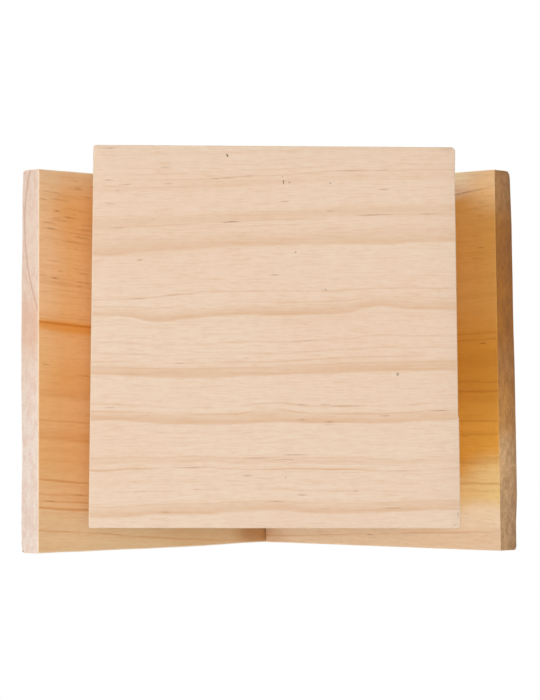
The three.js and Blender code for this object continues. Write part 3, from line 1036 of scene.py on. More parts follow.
HONEY_PINE = Timber(
    slot="roof_pine", ground=tone(245, 199, 138), blush=tone(246, 204, 148),
    sap=tone(241, 207, 161), line=tone(212, 132, 40), fleck=tone(122, 72, 40),
    dash=tone(172, 96, 46), cut_end=tone(248, 226, 208), cut_line=tone(226, 172, 140),
    pith=(53.2, 68.0), sapwood=112.4,
    bands=each(GrowthLine, (-14.4, 0.25, 4, 0.6), (-31.2, 0.32, 5, 0.7), (-75, 0.2, 3, 3)),
    streaks=each(
        GrowthLine,
        (30.5, 0.3, 0.8, 0.5), (26.5, 0.2, 0.8, 0.5), (-24.2, 0.45, 0.6, 0.5),
        (-47.8, 0.8, 0.7, 0.5), (-53.1, 0.4, 0.6, 0.5), (-56, 0.6, 0.6, 0.4),
        (-58.9, 0.9, 0.8, 0.5), (-68.4, 1.4, 0.6, 0.5),
    ),
    firm=each(GrowthLine, (17.8, 0.4, 0.4, 0.4), (14.8, 1, 0.9, 0.7)),
    specks=ROOF_FLECKS,
    # The pale patches towards the front, the rear and along the eave are painted light where light
    # reaches the underside past the walls. The two dark golden patches near the ridge at the front
    # are painted shade in that corner, partly golden wood. The orange patches are the wood's own
    # colour.
    stains_and_light=each(
        StainAndLight,
        ((252, 218, 180), 128, 48, 64, 0.26, 0.6), ((248, 210, 162), 114, -55, 14, 4, 0.5),
        ((234, 158, 56), 112, 13.6, 3.6, 12, 0.75), ((246, 210, 170), 112, 77, 16, 3, 0.65),
        ((238, 170, 84), 104, 60, 22, 1.2, 0.3), ((238, 166, 72), 106, -7, 11, 2, 0.28),
        ((216, 170, 116), 36, -66.5, 12, 3.4, 0.4), ((184, 118, 50), 4, -64.5, 8, 2.4, 0.7),
    ),
    end_stains_and_light=each(
        StainAndLight,
        ((252, 238, 226), 128, -52, 60, 1, 0.8), ((240, 186, 150), 128, 14, 15, 1, 0.45),
    ),
    end_lines=each(GrowthLine, (18.6, 0.42, 1.4, 1.4)),
    slant=0.07, slant_from=114.0, bend=1.2, ripple=1.4, plain=0.12, pitch=3.6, fibre=0.2,
    flecks=0.35, fleck_reach=28.0, rub_and_highlight=0.7, arris=tone(255, 236, 210), end_rings=0.15,
    blotch=0.35,
)

AMBER_WAVES = each(
    Wave,
    (69.8, ((-128.7, 71.9), (-113, 70.4), (-97.5, 68.9), (0, 66))),
    (-12.6, ((-128.7, -12.7), (-97.5, -12.4), (0, -12))),
    (-56.7, ((-128.7, -56.7), (-97.5, -56.8), (0, -57.5))),
    (-68.8, ((-128.7, -68.3), (-100, -69.4), (0, -73))),
)

# The -X roof board's underside lies in the house's shade. Its deeper, warmer ground, blush and line
# colours are partly its own heartwood and partly painted shade.
AMBER_SHADED_PINE = Timber(
    slot="roof_pine", ground=tone(229, 169, 84), blush=tone(231, 173, 94), sap=tone(243, 211, 177),
    line=tone(192, 122, 36), fleck=tone(104, 54, 14), dash=tone(136, 80, 26),
    cut_end=tone(219, 176, 130), cut_line=tone(132, 84, 40), pith=(5.0, 60.0), sapwood=60.8,
    sap_fade=2.5,
    bands=each(GrowthLine, (-1.5, 0.25, 6, 2.5), (-29.7, 0.3, 2.5, 0.6), (-41, 0.32, 2.6, 0.7)),
    streaks=each(
        GrowthLine,
        (-4.8, 0.35, 0.7, 0.5), (-9, 0.5, 0.7, 0.5), (-24.4, 0.5, 0.7, 0.5), (-34.6, 0.3, 0.7, 0.5),
        (-39, 0.3, 0.7, 0.5), (-49.4, 0.42, 0.7, 0.5), (-52.4, 0.15, 0.7, 0.5),
        (-68.8, 1, 0.7, 0.5),
    ),
    firm=each(
        GrowthLine,
        (-12.6, 0.65, 0.8, 0.5), (10.1, 0.45, 0.8, 0.6), (7.6, 0.5, 0.7, 0.4),
        (41.4, 0.16, 0.5, 0.5), (49.7, 0.14, 0.6, 1.2), (59.6, 0.16, 0.6, 1.2),
    ),
    waves=AMBER_WAVES,
    specks=each(
        Speck,
        (-121, 6.3, 0.42, 7, 0.7), (-104, 9.2, 0.42, 11, 0.6), (-118, 40, 0.42, 9, 0.4),
        (-104, -38.8, 0.42, 6, 0.4), (-112, 66.8, 0.5, 30, 0.6), (-128.6, 35.4, 1.5, 1, 0.4, 4),
        (-128.6, 68, 1.8, 1, 0.25, 6.5), (-128.6, 61, 1.6, 1, 0.25, 5),
    ),
    # The orange patches in the middle are the wood's own colour, with the lighter orange towards
    # the front partly painted light. The pale patches towards the front and rear ends are painted
    # light where light reaches the underside past the walls. The brown patch near the ridge at the
    # front is painted shade.
    stains_and_light=each(
        StainAndLight,
        ((226, 158, 56), -113, -6, 32, 1.5, 0.85), ((246, 181, 74), -108, -34, 24, 2.5, 0.95),
        ((255, 222, 154), -128, -49.5, 16, 1.7, 1), ((255, 219, 150), -104, -54.2, 11, 2.2, 1),
        ((255, 232, 200), -120, -62.5, 9, 2.6, 0.7), ((255, 236, 190), -96, 78, 17, 1.6, 0.95),
        ((252, 208, 150), -128, 67, 14, 1.5, 0.8), ((206, 150, 92), -2, -71, 9, 1.6, 0.4),
    ),
    # Painted shade and light on the end grain, which lies in shade: dark brown from the middle to
    # the rear, turning paler towards the front.
    end_stains_and_light=each(
        StainAndLight,
        ((222, 158, 84), -128, -18, 22, 1, 0.9), ((187, 119, 42), -128, 34, 66, 1, 1),
        ((192, 144, 94), -128, 74, 24, 1, 0.8), ((168, 110, 50), -128, 43, 15, 1, 0.5),
        ((248, 200, 144), -128, -42, 17, 1, 0.7),
    ),
    bend=1.0, ripple=1.6, plain=0.12, pitch=3.8, fibre=0.2, flecks=0.08, aged=0.35, end_rings=0.1,
    blotch=0.4,
)

WALL_PINE = Timber(
    slot="wall_pine", ground=tone(234, 200, 158), blush=tone(238, 206, 170),
    sap=tone(238, 208, 172), line=tone(206, 152, 94), fleck=tone(120, 80, 48),
    cut_end=tone(220, 184, 142), cut_line=tone(180, 130, 84), pith=(20.0, 45.0), bend=8.0,
    plain=0.75, pitch=6.0, fibre=0.28, flecks=0.1,
)

REAR_PINE = Timber(
    slot="panel_pine", ground=tone(230, 192, 146), blush=tone(236, 200, 158),
    sap=tone(236, 204, 166), line=tone(198, 142, 84), fleck=tone(146, 94, 50),
    cut_end=tone(214, 176, 132), cut_line=tone(174, 124, 78), pith=(-14.0, 38.0), bend=9.0,
    plain=0.8, pitch=6.5, fibre=0.28, flecks=0.14,
)

BLOCK_WOOD = Timber(
    slot="block_wood", ground=tone(226, 188, 138), blush=tone(230, 196, 150),
    sap=tone(230, 198, 152), line=tone(188, 132, 76), fleck=tone(140, 90, 46),
    cut_end=tone(206, 164, 116), cut_line=tone(166, 116, 68), pith=(-30.0, 40.0), bend=5.0,
    plain=0.7, pitch=4.5, fibre=0.35, flecks=0.08,
)

DOWEL_BEECH = Timber(
    slot="dowel_beech", ground=tone(216, 176, 126), blush=tone(220, 182, 136),
    sap=tone(220, 182, 136), line=tone(178, 128, 78), fleck=tone(150, 98, 58),
    cut_end=tone(198, 152, 102), cut_line=tone(160, 112, 68), pith=(40.0, 60.0), bend=1.0,
    plain=0.4, pitch=2.0, fibre=0.35, flecks=0.0,
)


@dataclass
class Brads:
    """Small galvanised brads that hold the boards.

    Attributes:
        head: Diameter of a head.
        proud: How far a head stands out of the wood.
        shank: Diameter of the shank.
        length: Length from the head's underside to the point.
        point: Length of the point.
        easing: Softening of the head's edges.
        finish: Their zinc.
    """

    head: float = 2.4
    proud: float = 0.25
    shank: float = 1.3
    length: float = 16.0
    point: float = 2.0
    easing: float = 0.08
    finish: SteelFinish = SteelFinish()

    def pattern(self) -> Piece:
        """One brad with its head's underside at the origin and its shank down -Z."""
        brad = Bench.rod("brad", (0, 0, self.proud / 2), self.head / 2, self.proud, (0, 0, 0), 20)
        with Bench.editing(brad, "FACE"):
            mesh = bmesh.from_edit_mesh(brad.data)
            min(mesh.faces, key=lambda face: face.calc_center_median().z).select_set(True)
            bmesh.update_edit_mesh(brad.data)
            bpy.ops.mesh.inset(thickness=(self.head - self.shank) / 2 * MM)
            for drop, squeeze in ((self.length - self.point, 1.0), (self.point, 0.15)):
                move = metres((0, 0, -drop))
                bpy.ops.mesh.extrude_region_move(TRANSFORM_OT_translate={"value": move})
                bpy.ops.transform.resize(value=(squeeze, squeeze, 1))
        Bench.ease(brad, self.easing, 2)
        return brad

    def row(self, name: str, places: Sequence[Triple], turn: Triple, pivot: Triple) -> Piece:
        """Brads at places on a face.

        Args:
            name: The row's name.
            places: Places of the heads' undersides, in mm, before the turn.
            turn: Turn of the whole row in degrees.
            pivot: Where the row's own origin goes.

        Returns:
            The row, as one piece.
        """
        pattern = self.pattern()
        row = Bench.join(name, [Bench.copy(pattern, place) for place in places])
        bpy.data.objects.remove(pattern)
        Bench.settle(row, pivot, turn)
        Bench.coat(row, self.finish.material(), self.finish.slot)
        return Bench.done(row, [])


@dataclass
class Carcass:
    """Base, side walls, rear panel, shelf and dowels.

    Attributes:
        width: Width of the base and over the walls.
        depth: Depth of the base and walls.
        board: Thickness of the base and walls.
        rear: Thickness of the rear panel.
        back: Y of the house's rear face.
        wall_top: Height of a wall's outer and inner top edges.
        gable: Height of the rear panel's peak.
        eave: Height where the rear panel's sides end.
        easing: Softening of the sawn edges.
        grit: How rough the faces are.
        bore: Radius of the dowel holes.
        bore_ends: Heights between which they run, from the base into the wall.
        groove: Depth of the shelf's grooves.
        play: Play of the shelf in them, and of the rear panel between the walls.
        entry: Height and radius of the keyhole's entry.
        slot: Height and radius of the upper end of its slot.
        lean: How far each wall's face stands out at its front and at its rear.
        dowels: The CAD dowels.
    """

    width: float = 134.0
    depth: float = 139.0
    board: float = 10.0
    rear: float = 8.0
    back: float = 75.75
    wall_top: Pair = (110.0, 120.0)
    gable: float = 177.0
    eave: float = 120.3
    easing: float = 0.5
    grit: float = 0.05
    bore: float = 2.8
    bore_ends: Pair = (3.2, 21.8)
    groove: float = 3.0
    play: float = 0.3
    entry: Pair = (130.23, 4.5)
    slot: Pair = (139.23, 2.5)
    lean: ClassVar[dict[int, Pair]] = {1: (0.2, -1.5), -1: (0.1, -0.8)}
    dowels: tuple[str, ...] = (
        "left_front_dowel", "left_rear_dowel", "right_front_dowel", "right_rear_dowel")

    @property
    def front(self) -> float:
        """Y of the base's front edge."""
        return self.back - self.depth

    def face(self, side: int, y: float) -> float:
        """How far a wall's outer face stands out at a place along Y."""
        fore, rear = self.lean[side]
        return fore + (rear - fore) * (y - self.front) / self.depth

    def build(self) -> None:
        """Builds every piece."""
        self.base()
        for side in SIDES:
            self.wall(side)
        self.rear_panel()
        self.shelf()
        for node in self.dowels:
            DOWEL_BEECH.dress(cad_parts[node], Lie.SIDE, (0, 0, 0), 9)
            LOG.info("%s: CAD shape in beech", node)

    def bores(self, side: int, low: float, high: float) -> list[Piece]:
        """Cutters for one side's two dowel holes, between two heights."""
        middles = [sum(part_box(node), Vector()) / 2 / MM
                   for node in self.dowels if node.startswith(SIDES[side])]
        middle, length = (low + high) / 2, high - low
        return [Bench.rod("bore", (p.x, p.y, middle), self.bore, length, (0, 0, 0), 24)
                for p in middles]

    def base(self) -> None:
        """Base board: a little out of square, with worn corners and a chip on one edge."""
        x, y, back, chip = self.width / 2, self.front, self.back, -23.0
        plank = Bench.block("base_plank", (-x, y, 0), (x, back, self.board))
        Bench.nudge(plank, [
            Nudge.near((x, back, None), (-1.2, 0.85, 0)),
            Nudge.near((-x, back, None), (0.6, -0.15, 0)),
            Nudge.near((x, y, None), (0.8, 0.25, 0)),
            Nudge.near((-x, y, None), (-0.6, -0.4, 0)),
        ])
        Bench.score(plank, 0, steps(-x, x, 12))
        Bench.score(plank, 1, steps(y, back, 12) + [chip - 0.4, chip + 0.4])
        Bench.nudge(plank, [Nudge((-x - 2, chip, -1), (1.5 - x, back - 1, 1), (0.3, 0, 0))])
        Bench.roughen(plank, self.grit)
        for corner, radius in (
                (lambda p: p.x > x - 1.5 and not y + 1 <= p.y <= back - 1, 0.9),
                (lambda p: p.x < 1.5 - x and p.y < y + 1, 1.1),
                (lambda p: p.x < 1.5 - x and p.y > back - 1, 1.7)):
            Bench.round_edges(plank, corner, radius)
        Bench.ease(plank, self.easing)
        low, high = self.bore_ends[0], self.board + 2
        Bench.drill(plank, self.bores(1, low, high) + self.bores(-1, low, high))
        PALE_PINE.dress(plank, Lie.LEVEL, (0, 0, 0), 3)
        Bench.done(plank, ["base_board"])

    def wall(self, side: int) -> None:
        """Side wall with its top cut to the roof, a groove for the shelf and dowel holes."""
        name = SIDES[side]
        outer, inner = side * self.width / 2, side * (self.width / 2 - self.board)
        low_top, top = self.wall_top
        wall = Bench.block(f"{name}_side_plank", (min(outer, inner), self.front, self.board),
                           (max(outer, inner), self.back, top))
        fore, rear = self.lean[side]
        Bench.nudge(wall, [
            Nudge.near((outer, None, top), (0, 0, low_top - top)),
            Nudge.near((outer, self.back, None), (side * rear, 0, 0)),
            Nudge.near((outer, self.front, None), (side * fore, 0, 0)),
        ])
        Bench.score(wall, 1, steps(self.front, self.back, 10))
        Bench.score(wall, 2, steps(self.board, low_top, 8))
        Bench.roughen(wall, self.grit)
        Bench.ease(wall, self.easing)
        low, high = box("shelf")
        deep = inner + side * self.groove
        groove = Bench.block("groove", (min(inner - 1, deep), self.front - 1, low.z - self.play),
                             (max(inner + 1, deep), high.y + self.play, high.z + self.play))
        Bench.drill(wall, [groove] + self.bores(side, self.board - 2, self.bore_ends[1]))
        WALL_PINE.dress(wall, Lie.SIDE, (outer, 0, 0), 6 + side)
        Bench.done(wall, [f"{name}_wall"])

    def rear_panel(self) -> None:
        """Rear panel between the walls, with the keyhole it hangs by."""
        x, y = self.width / 2 - self.board - self.play, self.back - self.rear / 2
        panel = Bench.block("rear_panel", (-x, self.back - self.rear, self.board),
                            (x, self.back, self.eave))
        Bench.score(panel, 0, [0.0])
        Bench.nudge(panel, [Nudge.near((0, None, self.eave), (0, 0, self.gable - self.eave))])
        Bench.score(panel, 0, steps(-x, 0, 5) + steps(0, x, 5))
        Bench.score(panel, 2, [34, 58, 82, 106])
        Bench.roughen(panel, 0.04)
        (entry, wide), (end, narrow), reach = self.entry, self.slot, self.rear + 1
        slot = Bench.block("slot", (-narrow, y - reach, entry), (narrow, y + reach, end))
        Bench.drill(panel, [
            Bench.rod("entry", (0, y, entry), wide, 2 * reach, (90, 0, 0), 64), slot,
            Bench.rod("top", (0, y, end), narrow, 2 * reach, (90, 0, 0), 48),
        ])
        Bench.ease(panel, 0.35, 2, 50)
        REAR_PINE.dress(panel, Lie.REAR, (0, self.back, 0), 4)
        Bench.done(panel, ["back_panel"])

    def shelf(self) -> None:
        """Shelf between the nesting block and the canes."""
        low, high = box("shelf")
        shelf = Bench.block("shelf_plank", low, high)
        Bench.score(shelf, 0, steps(low.x, high.x, 10))
        Bench.score(shelf, 1, steps(low.y, high.y, 10))
        Bench.roughen(shelf, self.grit)
        Bench.ease(shelf, self.easing)
        WALL_PINE.dress(shelf, Lie.LEVEL, (0, 0, low.z), 12)
        Bench.done(shelf, ["shelf"])


@dataclass(frozen=True)
class Slope:
    """One roof board's lie, finish and wear.

    Attributes:
        lie: How it lies.
        finish: Its pine.
        start: Where it starts down the slope from the peak.
        rear: How far its rear corner at the eave is off true: down the slope, along Y and, for
            the upper face alone, up.
        fore: The same for its front corner.
        worn: How far its upper corners at the eave are worn off, in front and behind.
        swell: Where the eave's upper arris swells or sinks: from and to along Y, and how far.
        bow: Where the front edge bows out: from and to down the slope, and how far.
    """

    lie: Lie
    finish: Timber
    start: float
    rear: Triple
    fore: Triple
    worn: Pair
    swell: tuple[Triple, ...]
    bow: tuple[Triple, ...] = ()


@dataclass
class Roof:
    """The two roof boards and the brads through them.

    Each board is made flat, with the peak of the roof's underside as its origin, X down its
    slope and Z out of the roof, and is then turned by the pitch and set on the peak. The right
    one laps over the peak and the left one butts against it.

    Attributes:
        peak: Height of the underside's peak.
        pitch: Slope of the roof, in degrees.
        length: Distance down the slope from the peak to the eave.
        thickness: Thickness of the boards.
        half_depth: Half their depth along Y.
        easing: Softening of their edges.
        grit: How rough their faces are.
        bulge: How far their rear edge stands out at the ridge.
        house: What the roof stands on.
        into_panel: Y of the brads in the rear panel.
        slopes: What sets the two boards apart.
    """

    peak: float = 177.42
    pitch: float = 45.0
    length: float = 128.69
    thickness: float = 10.0
    half_depth: float = 75.75
    easing: float = 0.45
    grit: float = 0.06
    bulge: float = 0.85
    house: Carcass = field(default_factory=Carcass)
    into_panel: float = 71.6
    slopes: ClassVar[dict[int, Slope]] = {
        1: Slope(
            lie=Lie.RIGHT_SLOPE, finish=HONEY_PINE, start=-10.0, rear=(-0.2, 0.2, -0.4),
            fore=(0.35, -0.35, -0.1), worn=(2.8, 2.8),
            swell=((-70, 72, 0.38), (-12, 42, 0.35), (-48, -28, -0.3)),
            bow=((20, 115, 0.15), (30, 80, 0.2))),
        -1: Slope(
            lie=Lie.LEFT_SLOPE, finish=AMBER_SHADED_PINE, start=0.8, rear=(-1.3, -0.15, 0.0),
            fore=(0.8, -0.1, 0.3), worn=(2.8, 3.6),
            swell=((-26, 70, 0.27), (-60, 62, 0.35), (-60, 10, 0.3), (-60, -25, 0.3))),
    }

    def build(self) -> None:
        """Builds both boards and their brads."""
        for side in SIDES:
            self.board(side)
        self.brads()

    def board(self, side: int) -> None:
        """One roof board, a little out of true, with worn outer corners at the eave."""
        slope, end, t, y = self.slopes[side], self.length, self.thickness, self.half_depth
        low, high = sorted((side * slope.start, side * end))
        board = Bench.block(f"{SIDES[side]}_slope_plank", (low, -y, 0), (high, y, t))
        off_true = []
        for corner, (down, along, up) in ((y, slope.rear), (-y, slope.fore)):
            off_true += [Nudge.near((side * end, corner, None), (side * down, along, 0)),
                         Nudge.near((side * end, corner, t), (0, 0, up))]
        off_true.append(Nudge.near((side * slope.start, y, None), (0, self.bulge, 0)))
        Bench.nudge(board, off_true)
        for way, reach in zip((-1, 1), slope.worn):
            Bench.wear_corners(
                board, lambda p: abs(p.x) > end - 3 and way * p.y > 0 and p.z > t / 2, reach)
        Bench.score(board, 1, steps(-y, y, 14))
        Bench.score(board, 0, steps(low, high, 12))
        inner, outer = sorted((side * (end - 3), side * (end + 3)))
        Bench.nudge(board, [
            Nudge((inner, first, t - 1.5), (outer, last, t + 1), (0, 0, out))
            for first, last, out in slope.swell
        ] + [
            Nudge((first, -y - 3, -1), (last, 1.5 - y, t + 1), (0, -out, 0))
            for first, last, out in slope.bow
        ])
        Bench.roughen(board, self.grit)
        Bench.ease(board, self.easing)
        Bench.settle(board, (0, 0, self.peak), (0, side * self.pitch, 0))
        slope.finish.dress(board, slope.lie, (0, 0, self.peak), 5 + 3 * side)
        Bench.done(board, [f"{SIDES[side]}_roof_board"])

    def brads(self) -> None:
        """Brads through each board into its wall and the rear panel, and along the ridge."""
        brads, house, t, pivot = Brads(), self.house, self.thickness, (0, 0, self.peak)
        over_wall = (house.width - house.board) / 2 / math.cos(math.radians(self.pitch))
        for side, name in SIDES.items():
            places = [(side * over_wall, y, t) for y in (-50, 6, 56)]
            places += [(side * run, self.into_panel, t) for run in (22, 58)]
            brads.row(f"{name}_roof_brads", places, (0, side * self.pitch, 0), pivot)
        ridge = [(-t / 2, y, t) for y in (-60, 0, 58)]
        brads.row("ridge_brads", ridge, (0, self.pitch, 0), pivot)
        for side, name in SIDES.items():
            places = [(-side * z, y, house.face(side, y))
                      for z, y in ((58, 30), (58, -50),
                                   (34, self.into_panel), (92, self.into_panel))]
            face = (side * house.width / 2, 0, 0)
            brads.row(f"{name}_wall_brads", places, (0, side * 90, 0), face)


@dataclass
class NestingBlock:
    """Drilled block in the bay under the shelf.

    Attributes:
        pitch: Distance between holes in a row.
        rows: Height, diameter and number of the holes of each row.
        depth: Depth of the holes.
        easing: Softening of the block's edges.
        rim: Softening of the holes' rims.
    """

    pitch: float = 14.0
    rows: tuple[tuple[float, float, int], ...] = (
        (17.28, 7.0, 7), (31.85, 5.6, 6), (46.42, 4.62, 7))
    depth: float = 90.0
    easing: float = 1.1
    rim: float = 0.25

    def build(self) -> None:
        """Builds the block and drills it."""
        low, high = box("nesting_block")
        block = Bench.block("drilled_block", low, high)
        Bench.ease(block, self.easing, 4)
        y = low.y + self.depth / 2 - 2
        drills = [Bench.rod("drill", ((i - (count - 1) / 2) * self.pitch, y, z), diameter / 2,
                            self.depth + 4, (90, 0, 0), 36)
                  for z, diameter, count in self.rows for i in range(count)]
        Bench.drill(block, [Bench.join("drills", drills)])
        Bench.round_edges(
            block, lambda p: abs(p.y - low.y) < 0.01 and abs(p.x) < 52 and 12 < p.z < 51,
            self.rim, 2, longest=1.0)
        BLOCK_WOOD.dress(block, Lie.ON_EDGE, (0, low.y, 0), 8)
        Bench.done(block, ["nesting_block"])


@dataclass
class Cane:
    """One bored bamboo cane, which takes its sizes from its CAD node.

    Attributes:
        node: The CAD node's name.
        index: Its number in the stack, which sets its wear.
        sides: Facets round it.
        chamfer: Width of the CAD bore's chamfer.
        grit: How rough its skin is.
        dent: Size and depth of the dents in it.
    """

    node: str
    index: int
    sides: int = 40
    chamfer: float = 0.5
    grit: float = 0.035
    dent: Pair = (9.0, 0.22)

    def __post_init__(self) -> None:
        """Takes the cane's axis, radii and lengths from its node."""
        low, high = box(self.node)
        self.x, self.z = (low.x + high.x) / 2, (low.z + high.z) / 2
        self.radius = (high.z - low.z) / 2
        self.mouth, self.rear = low.y, high.y
        rings = [(place.y, self.off_axis(place))
                 for place in (v.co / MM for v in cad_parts[self.node].data.vertices)]
        self.bore = min(r for y, r in rings if y < self.mouth + 0.02) - self.chamfer
        self.floor = min(y for y, r in rings if r < 0.05)
        self.joint = max(y for y, r in rings if r > self.radius - 0.02)

    def off_axis(self, place: Vector) -> float:
        """Distance of a place in mm from the cane's axis."""
        return math.hypot(place.x - self.x, place.z - self.z)

    def stations(self) -> list[Triple]:
        """Y, radius and ovality of each ring, from the rear end over the skin into the bore."""
        r, b, m, joint, floor = self.radius, self.bore, self.mouth, self.joint, self.floor
        slim = r - 0.45
        skin = [
            (self.rear, slim - 0.3), (self.rear - 0.35, slim), (joint + 2.4, slim),
            (joint + 1.5, slim - 0.25), (joint + 0.7, r - 0.12), (joint, r - 0.02),
            (joint - 0.8, r - 0.15), (joint - 2.2, slim), (joint - 14, slim + 0.05),
        ]
        skin += [(m + reach, r - 0.06 - 0.004 * reach) for reach in (70, 50, 32, 18, 9, 3)]
        skin += [(m + 0.5, r - 0.05), (m + 0.14, r - 0.16), (m, r - 0.42),
                 (m + 0.03, b + 0.62 * (r - b)), (m, b + 0.28), (m + 0.12, b + 0.08)]
        inside = [(m + 0.5, b), (m + 6, b * 0.985), (m + 20, b * 0.99), (m + 45, b),
                  (floor - 6, b), (floor - 1, b * 0.96), (floor - 0.1, b * 0.7), (floor, b * 0.25)]
        oval = 0.012 * math.sin(2.1 * self.index)
        bore_oval = 0.03 * math.sin(1.3 * self.index + 1)
        return [(*ring, oval) for ring in skin] + [(*ring, bore_oval) for ring in inside]

    def build(self, material: bpy.types.Material, slot: str) -> None:
        """Models the cane ring by ring with extrusions, roughens it and dresses it."""
        (last_y, last_r, _), *rings = self.stations()
        last_oval = 0.0
        Bench.clear()
        bpy.ops.mesh.primitive_circle_add(
            vertices=self.sides, radius=last_r * MM, fill_type="NGON",
            location=metres((self.x, last_y, self.z)), rotation=turned((90, 0, 0)))
        cane = Bench.named(self.node.replace("bamboo_", ""))
        with Bench.editing(cane, "FACE"):
            bpy.ops.mesh.select_all(action="SELECT")
            for y, radius, oval in rings:
                move = metres((0, y - last_y, 0))
                bpy.ops.mesh.extrude_region_move(TRANSFORM_OT_translate={"value": move})
                wide = radius * (1 + oval) / (last_r * (1 + last_oval))
                tall = radius * (1 - oval) / (last_r * (1 - last_oval))
                bpy.ops.transform.resize(value=(wide, 1, tall),
                                         center_override=metres((self.x, y, self.z)))
                last_y, last_r, last_oval = y, radius, oval
            bpy.ops.mesh.select_all(action="SELECT")
            bpy.ops.mesh.normals_make_consistent(inside=False)
        self.chart(cane)
        Bench.roughen(cane, self.grit)
        self.wear(cane)
        Bench.coat(cane, material, slot)
        Bench.done(cane, [self.node], 50)

    def chart(self, cane: Piece) -> None:
        """Writes the map of depth and way across the wall, and the cane's own tone."""
        chart = cane.data.uv_layers.new(name="wall")
        for loop in cane.data.loops:
            place = cane.data.vertices[loop.vertex_index].co / MM
            off = self.off_axis(place)
            share = (off - self.bore) / (self.radius - 0.1 - self.bore)
            if place.y > self.mouth + 0.3:
                share = 0.0 if off < self.bore + 0.4 and place.y < self.floor + 0.5 else 1.0
            chart.data[loop.index].uv = (place.y - self.mouth, min(max(share, 0.0), 1.0))
        own = cane.data.attributes.new("tone", "FLOAT", "POINT")
        value = 0.5 + 0.5 * math.sin(5.3 * self.index + 0.7)
        own.data.foreach_set("value", [value] * len(cane.data.vertices))

    def wear(self, cane: Piece) -> None:
        """Dents and swells the cane slightly with a soft displacement."""
        dents = bpy.data.textures.new(f"dents_{self.index}", "CLOUDS")
        dents.noise_scale = self.dent[0] * MM
        shift = cane.modifiers.new("dents", "DISPLACE")
        shift.texture = dents
        shift.texture_coords = "LOCAL"
        shift.strength = self.dent[1] * MM
        shift.mid_level = 0.5
        Bench.apply(cane, shift)


@dataclass
class CaneStack:
    """The stack of canes on the shelf.

    Attributes:
        prefix: What the canes' nodes are called, before their numbers.
        finish: Their bamboo.
    """

    prefix: str = "bamboo_cane_"
    finish: BambooFinish = BambooFinish()

    def build(self) -> None:
        """Builds every cane that the frame has."""
        material = self.finish.material()
        nodes = sorted(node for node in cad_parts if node.startswith(self.prefix))
        for index, node in enumerate(nodes):
            Cane(node, index).build(material, self.finish.slot)


@dataclass
class Lamp:
    """A soft square lamp: where it stands, its size, both in metres, and its power.

    All lamps point at `aim`, the middle of the house.
    """

    name: str
    place: Triple
    size: float
    power: float
    aim: ClassVar[Triple] = (0.0, 0.0, 0.09)

    def hang(self) -> None:
        """Hangs the lamp and points it."""
        light = bpy.data.lights.new(self.name, "AREA")
        light.shape = "SQUARE"
        light.size = self.size
        light.energy = self.power
        lamp = bpy.data.objects.new(self.name, light)
        bpy.context.scene.collection.objects.link(lamp)
        lamp.location = self.place
        way = Vector(self.aim) - Vector(self.place)
        lamp.rotation_euler = way.to_track_quat("-Z", "Y").to_euler()


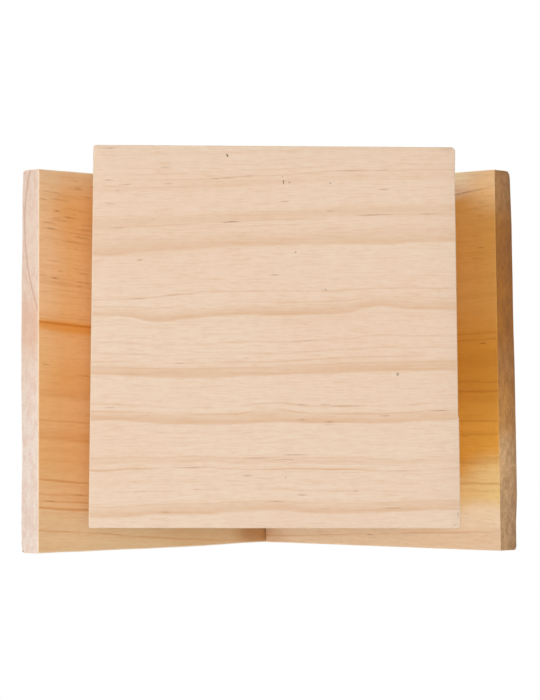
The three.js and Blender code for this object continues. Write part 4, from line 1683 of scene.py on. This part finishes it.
@dataclass
class Studio:
    """Camera below the house looking up, soft lamps, white surroundings and a pale floor.

    The floor shows only from above: from below, as in the photograph, nothing is seen but the
    house in front of white.

    Attributes:
        stand: Place of the camera, in metres.
        turn: Turn of the camera, in degrees.
        lens: Focal length for a frame 36 mm high.
        ambient: Brightness of the surroundings as light on the house.
        floor_size: Width of the floor, in metres.
        floor_top: Its height, just under the house.
        floor_fade: Distances at which the floor has gone and is still whole.
        glow: Its own light, so that it isn't grey.
        lamps: The lamps.
    """

    stand: Triple = (0.02635, -0.02632, -0.99452)
    turn: Triple = (-178.3916, 1.4171, -179.8097)
    lens: float = 140.5
    ambient: float = 0.33
    floor_size: float = 30.0
    floor_top: float = -0.0006
    floor_fade: Pair = (1.2, 0.3)
    glow: float = 0.4
    lamps: tuple[Lamp, ...] = each(
        Lamp,
        ("camera_side", (0.03, -0.03, -2.2), 0.3, 20.0),
        ("left_back", (1.0, 0.6, -0.5), 0.3, 2.1),
        ("left_front", (1.1, -0.5, -0.5), 0.35, 1.9),
        ("front_low", (0.55, -1.0, -0.7), 0.5, 1.8),
        ("right_side", (-1.0, 0.25, -0.5), 0.8, 1.0),
        ("top_key", (0.9, -1.0, 1.2), 0.8, 12.5),
        ("top_fill", (-1.1, -0.5, 0.9), 0.9, 8.0),
        ("top_back", (0.3, 1.2, 1.0), 0.9, 10.0),
    )

    def build(self) -> None:
        """Sets up everything round the house."""
        self.camera()
        for lamp in self.lamps:
            lamp.hang()
        self.world()
        self.floor()
        bpy.context.scene.view_settings.view_transform = "Standard"

    def camera(self) -> None:
        """Camera at the photograph's place."""
        camera = bpy.data.cameras.new("camera")
        camera.lens = self.lens
        camera.sensor_width = 36.0
        camera.clip_start = 0.01
        holder = bpy.data.objects.new("camera", camera)
        bpy.context.scene.collection.objects.link(holder)
        holder.location = self.stand
        holder.rotation_euler = turned(self.turn)
        bpy.context.scene.camera = holder

    def world(self) -> None:
        """White to the eye and to gloss, and a dim grey as light."""
        world = bpy.context.scene.world = bpy.data.worlds.new("surroundings")
        c = Canvas(world)
        path = c.add("LightPath").outputs
        seen = path["Is Camera Ray"]
        for name in ("Is Glossy Ray", "Is Transmission Ray"):
            seen = c.calc("MAXIMUM", seen, path[name])
        level = c.add("MapRange", seen, None, None, self.ambient).outputs[0]
        back = c.nodes["Background"].inputs
        c.feed(back["Color"], (1, 1, 1, 1))
        c.feed(back["Strength"], level)

    def floor(self) -> None:
        """Pale floor that keeps the house's shadow, seen from above alone."""
        Bench.clear()
        bpy.ops.mesh.primitive_plane_add(size=self.floor_size, location=(0, 0, self.floor_top))
        floor = Bench.named("floor")
        c = Canvas.named("pale_floor")
        c.nodes.remove(c.nodes["Principled BSDF"])
        diffuse = c.add("BsdfDiffuse", tone(206, 205, 203))
        glow = c.add("Emission", (1.0, 1.0, 1.0, 1.0), self.glow)
        lit = c.add("AddShader", diffuse.outputs[0], glow.outputs[0])
        clear = c.add("BsdfTransparent")
        seen = c.add("LightPath").outputs["Is Camera Ray"]
        under = c.add("NewGeometry").outputs["Backfacing"]
        away = c.add("VectorMath", c.add("TexCoord").outputs["Object"],
                     operation="LENGTH").outputs["Value"]
        shown = c.times(seen, c.calc("SUBTRACT", 1.0, under), c.ease(away, *self.floor_fade))
        both = c.add("MixShader", shown, clear.outputs[0], lit.outputs[0])
        c.feed(c.nodes["Material Output"].inputs["Surface"], both.outputs[0])
        floor.data.materials.append(c.owner)


def plain(corners: Sequence[Vector]) -> list[list[float]]:
    """A box's two corners as plain lists."""
    return [[round(float(part), 6) for part in corner] for corner in corners]


def main() -> None:
    """Builds the house and its studio."""
    logging.basicConfig(level=logging.INFO, format="%(message)s")
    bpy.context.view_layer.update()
    Studio().build()
    for assembly in (Carcass(), Roof(), NestingBlock(), CaneStack()):
        assembly.build()
        LOG.info("%s: done", type(assembly).__name__)
    Bench.clear()


if __name__ == "__main__":
    main()
